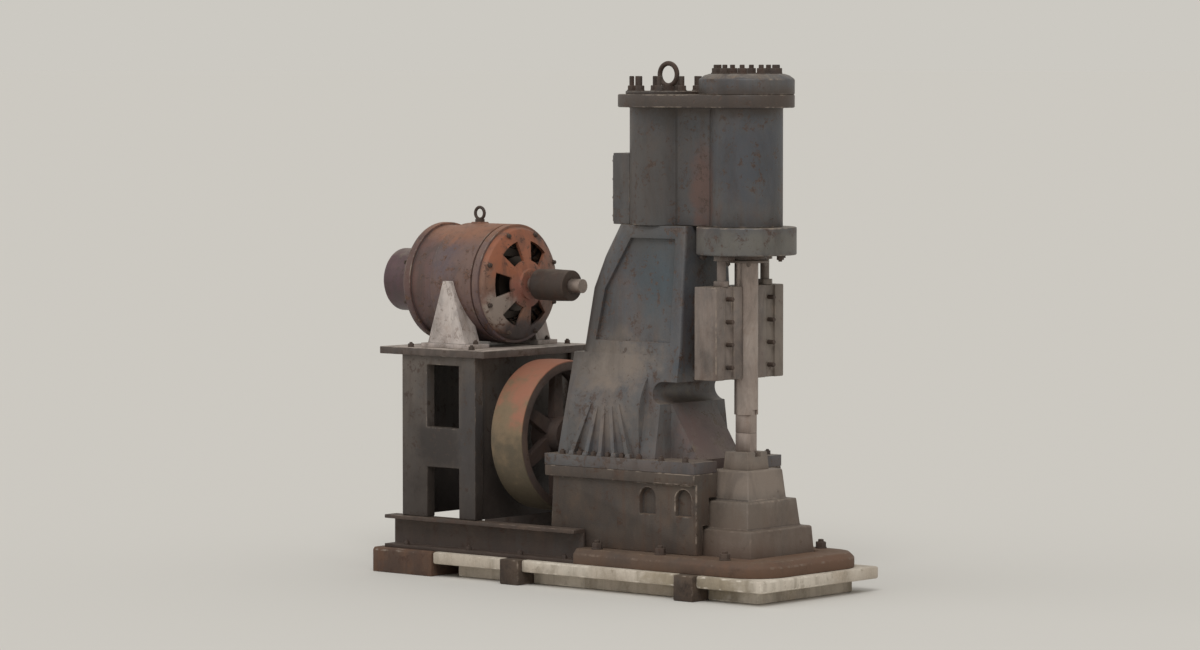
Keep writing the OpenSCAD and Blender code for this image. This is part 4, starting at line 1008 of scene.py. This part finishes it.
# %% Floor
bpy.ops.object.select_all(action="DESELECT")
bpy.ops.mesh.primitive_plane_add(size=3000)
floor = bpy.context.object
floor.name = "floor"
pale = bpy.data.materials.new("pale_floor")
pale.use_nodes = True
shader = pale.node_tree.nodes["Principled BSDF"]
shader.inputs["Base Color"].default_value = linear("#d2cfc9")
shader.inputs["Roughness"].default_value = 0.9
shader.inputs["Specular IOR Level"].default_value = 0.0
floor.data.materials.append(pale)
print("Floor laid")

# %% [markdown]
# ## World and lamps
# Soft, even light comes from all round, as under a cloudy sky, with one lamp in front
# and a weaker one from the left to turn the round pieces. Both are far and broad, so
# their shadows are soft, and only bright enough for a colour to render about as
# written. What the camera sees behind the floor has the floor's own rendered colour.

# %% World and lamps
BACKDROP = "#ccc9c2"
world = bpy.data.worlds.new("studio")
bpy.context.scene.world = world
world.use_nodes = True
sky = world.node_tree
sky.nodes.clear()
rays = add(sky, "ShaderNodeLightPath").outputs
seen = rays["Is Camera Ray"]
for kind in ("Is Glossy Ray", "Is Transmission Ray"):
    seen = add(sky, "ShaderNodeMath", {"operation": "MAXIMUM"}, i0=seen, i1=rays[kind]).outputs[0]
soft = add(sky, "ShaderNodeBackground", {"Color": linear("#f2f1ee"), "Strength": 0.68})
backdrop = add(sky, "ShaderNodeBackground", {"Color": linear(BACKDROP), "Strength": 1.0})
mixed = add(sky, "ShaderNodeMixShader", i0=seen, i1=soft.outputs[0], i2=backdrop.outputs[0])
add(sky, "ShaderNodeOutputWorld", Surface=mixed.outputs[0])


def far_lamp(name, strength, spread, where):
    """A distant lamp that shines from that side on the whole scene, with soft shadows."""
    data = bpy.data.lights.new(name, "SUN")
    data.energy = strength
    data.angle = math.radians(spread)
    holder = bpy.data.objects.new(name, data)
    bpy.context.collection.objects.link(holder)
    holder.location = where
    holder.rotation_euler = (-Vector(where)).to_track_quat("-Z", "Y").to_euler()


far_lamp("key", strength=1.25, spread=30, where=(4.5, -6.0, 8.0))
far_lamp("fill", strength=0.35, spread=60, where=(-7.0, -6.0, 4.0))

# %% [markdown]
# ## Camera
# It stands where the photograph was taken from, about twenty-three metres away and a
# little over head height, with a long lens so that the machine fills the picture.

# %% Camera
target, standpoint = Vector((-0.93, 0, 1.27)), Vector((14.07, -17.66, 2.565))
view = bpy.data.cameras.new("photograph_view")
view.sensor_width = 36
view.lens = 140
view.clip_end = 4000
camera = bpy.data.objects.new("photograph_view", view)
bpy.context.collection.objects.link(camera)
camera.location = standpoint
camera.rotation_euler = (target - standpoint).to_track_quat("-Z", "Y").to_euler()
bpy.context.scene.camera = camera
bpy.context.scene.view_settings.view_transform = "Standard"
print("Camera distance:", round((target - standpoint).length, 2), "m")
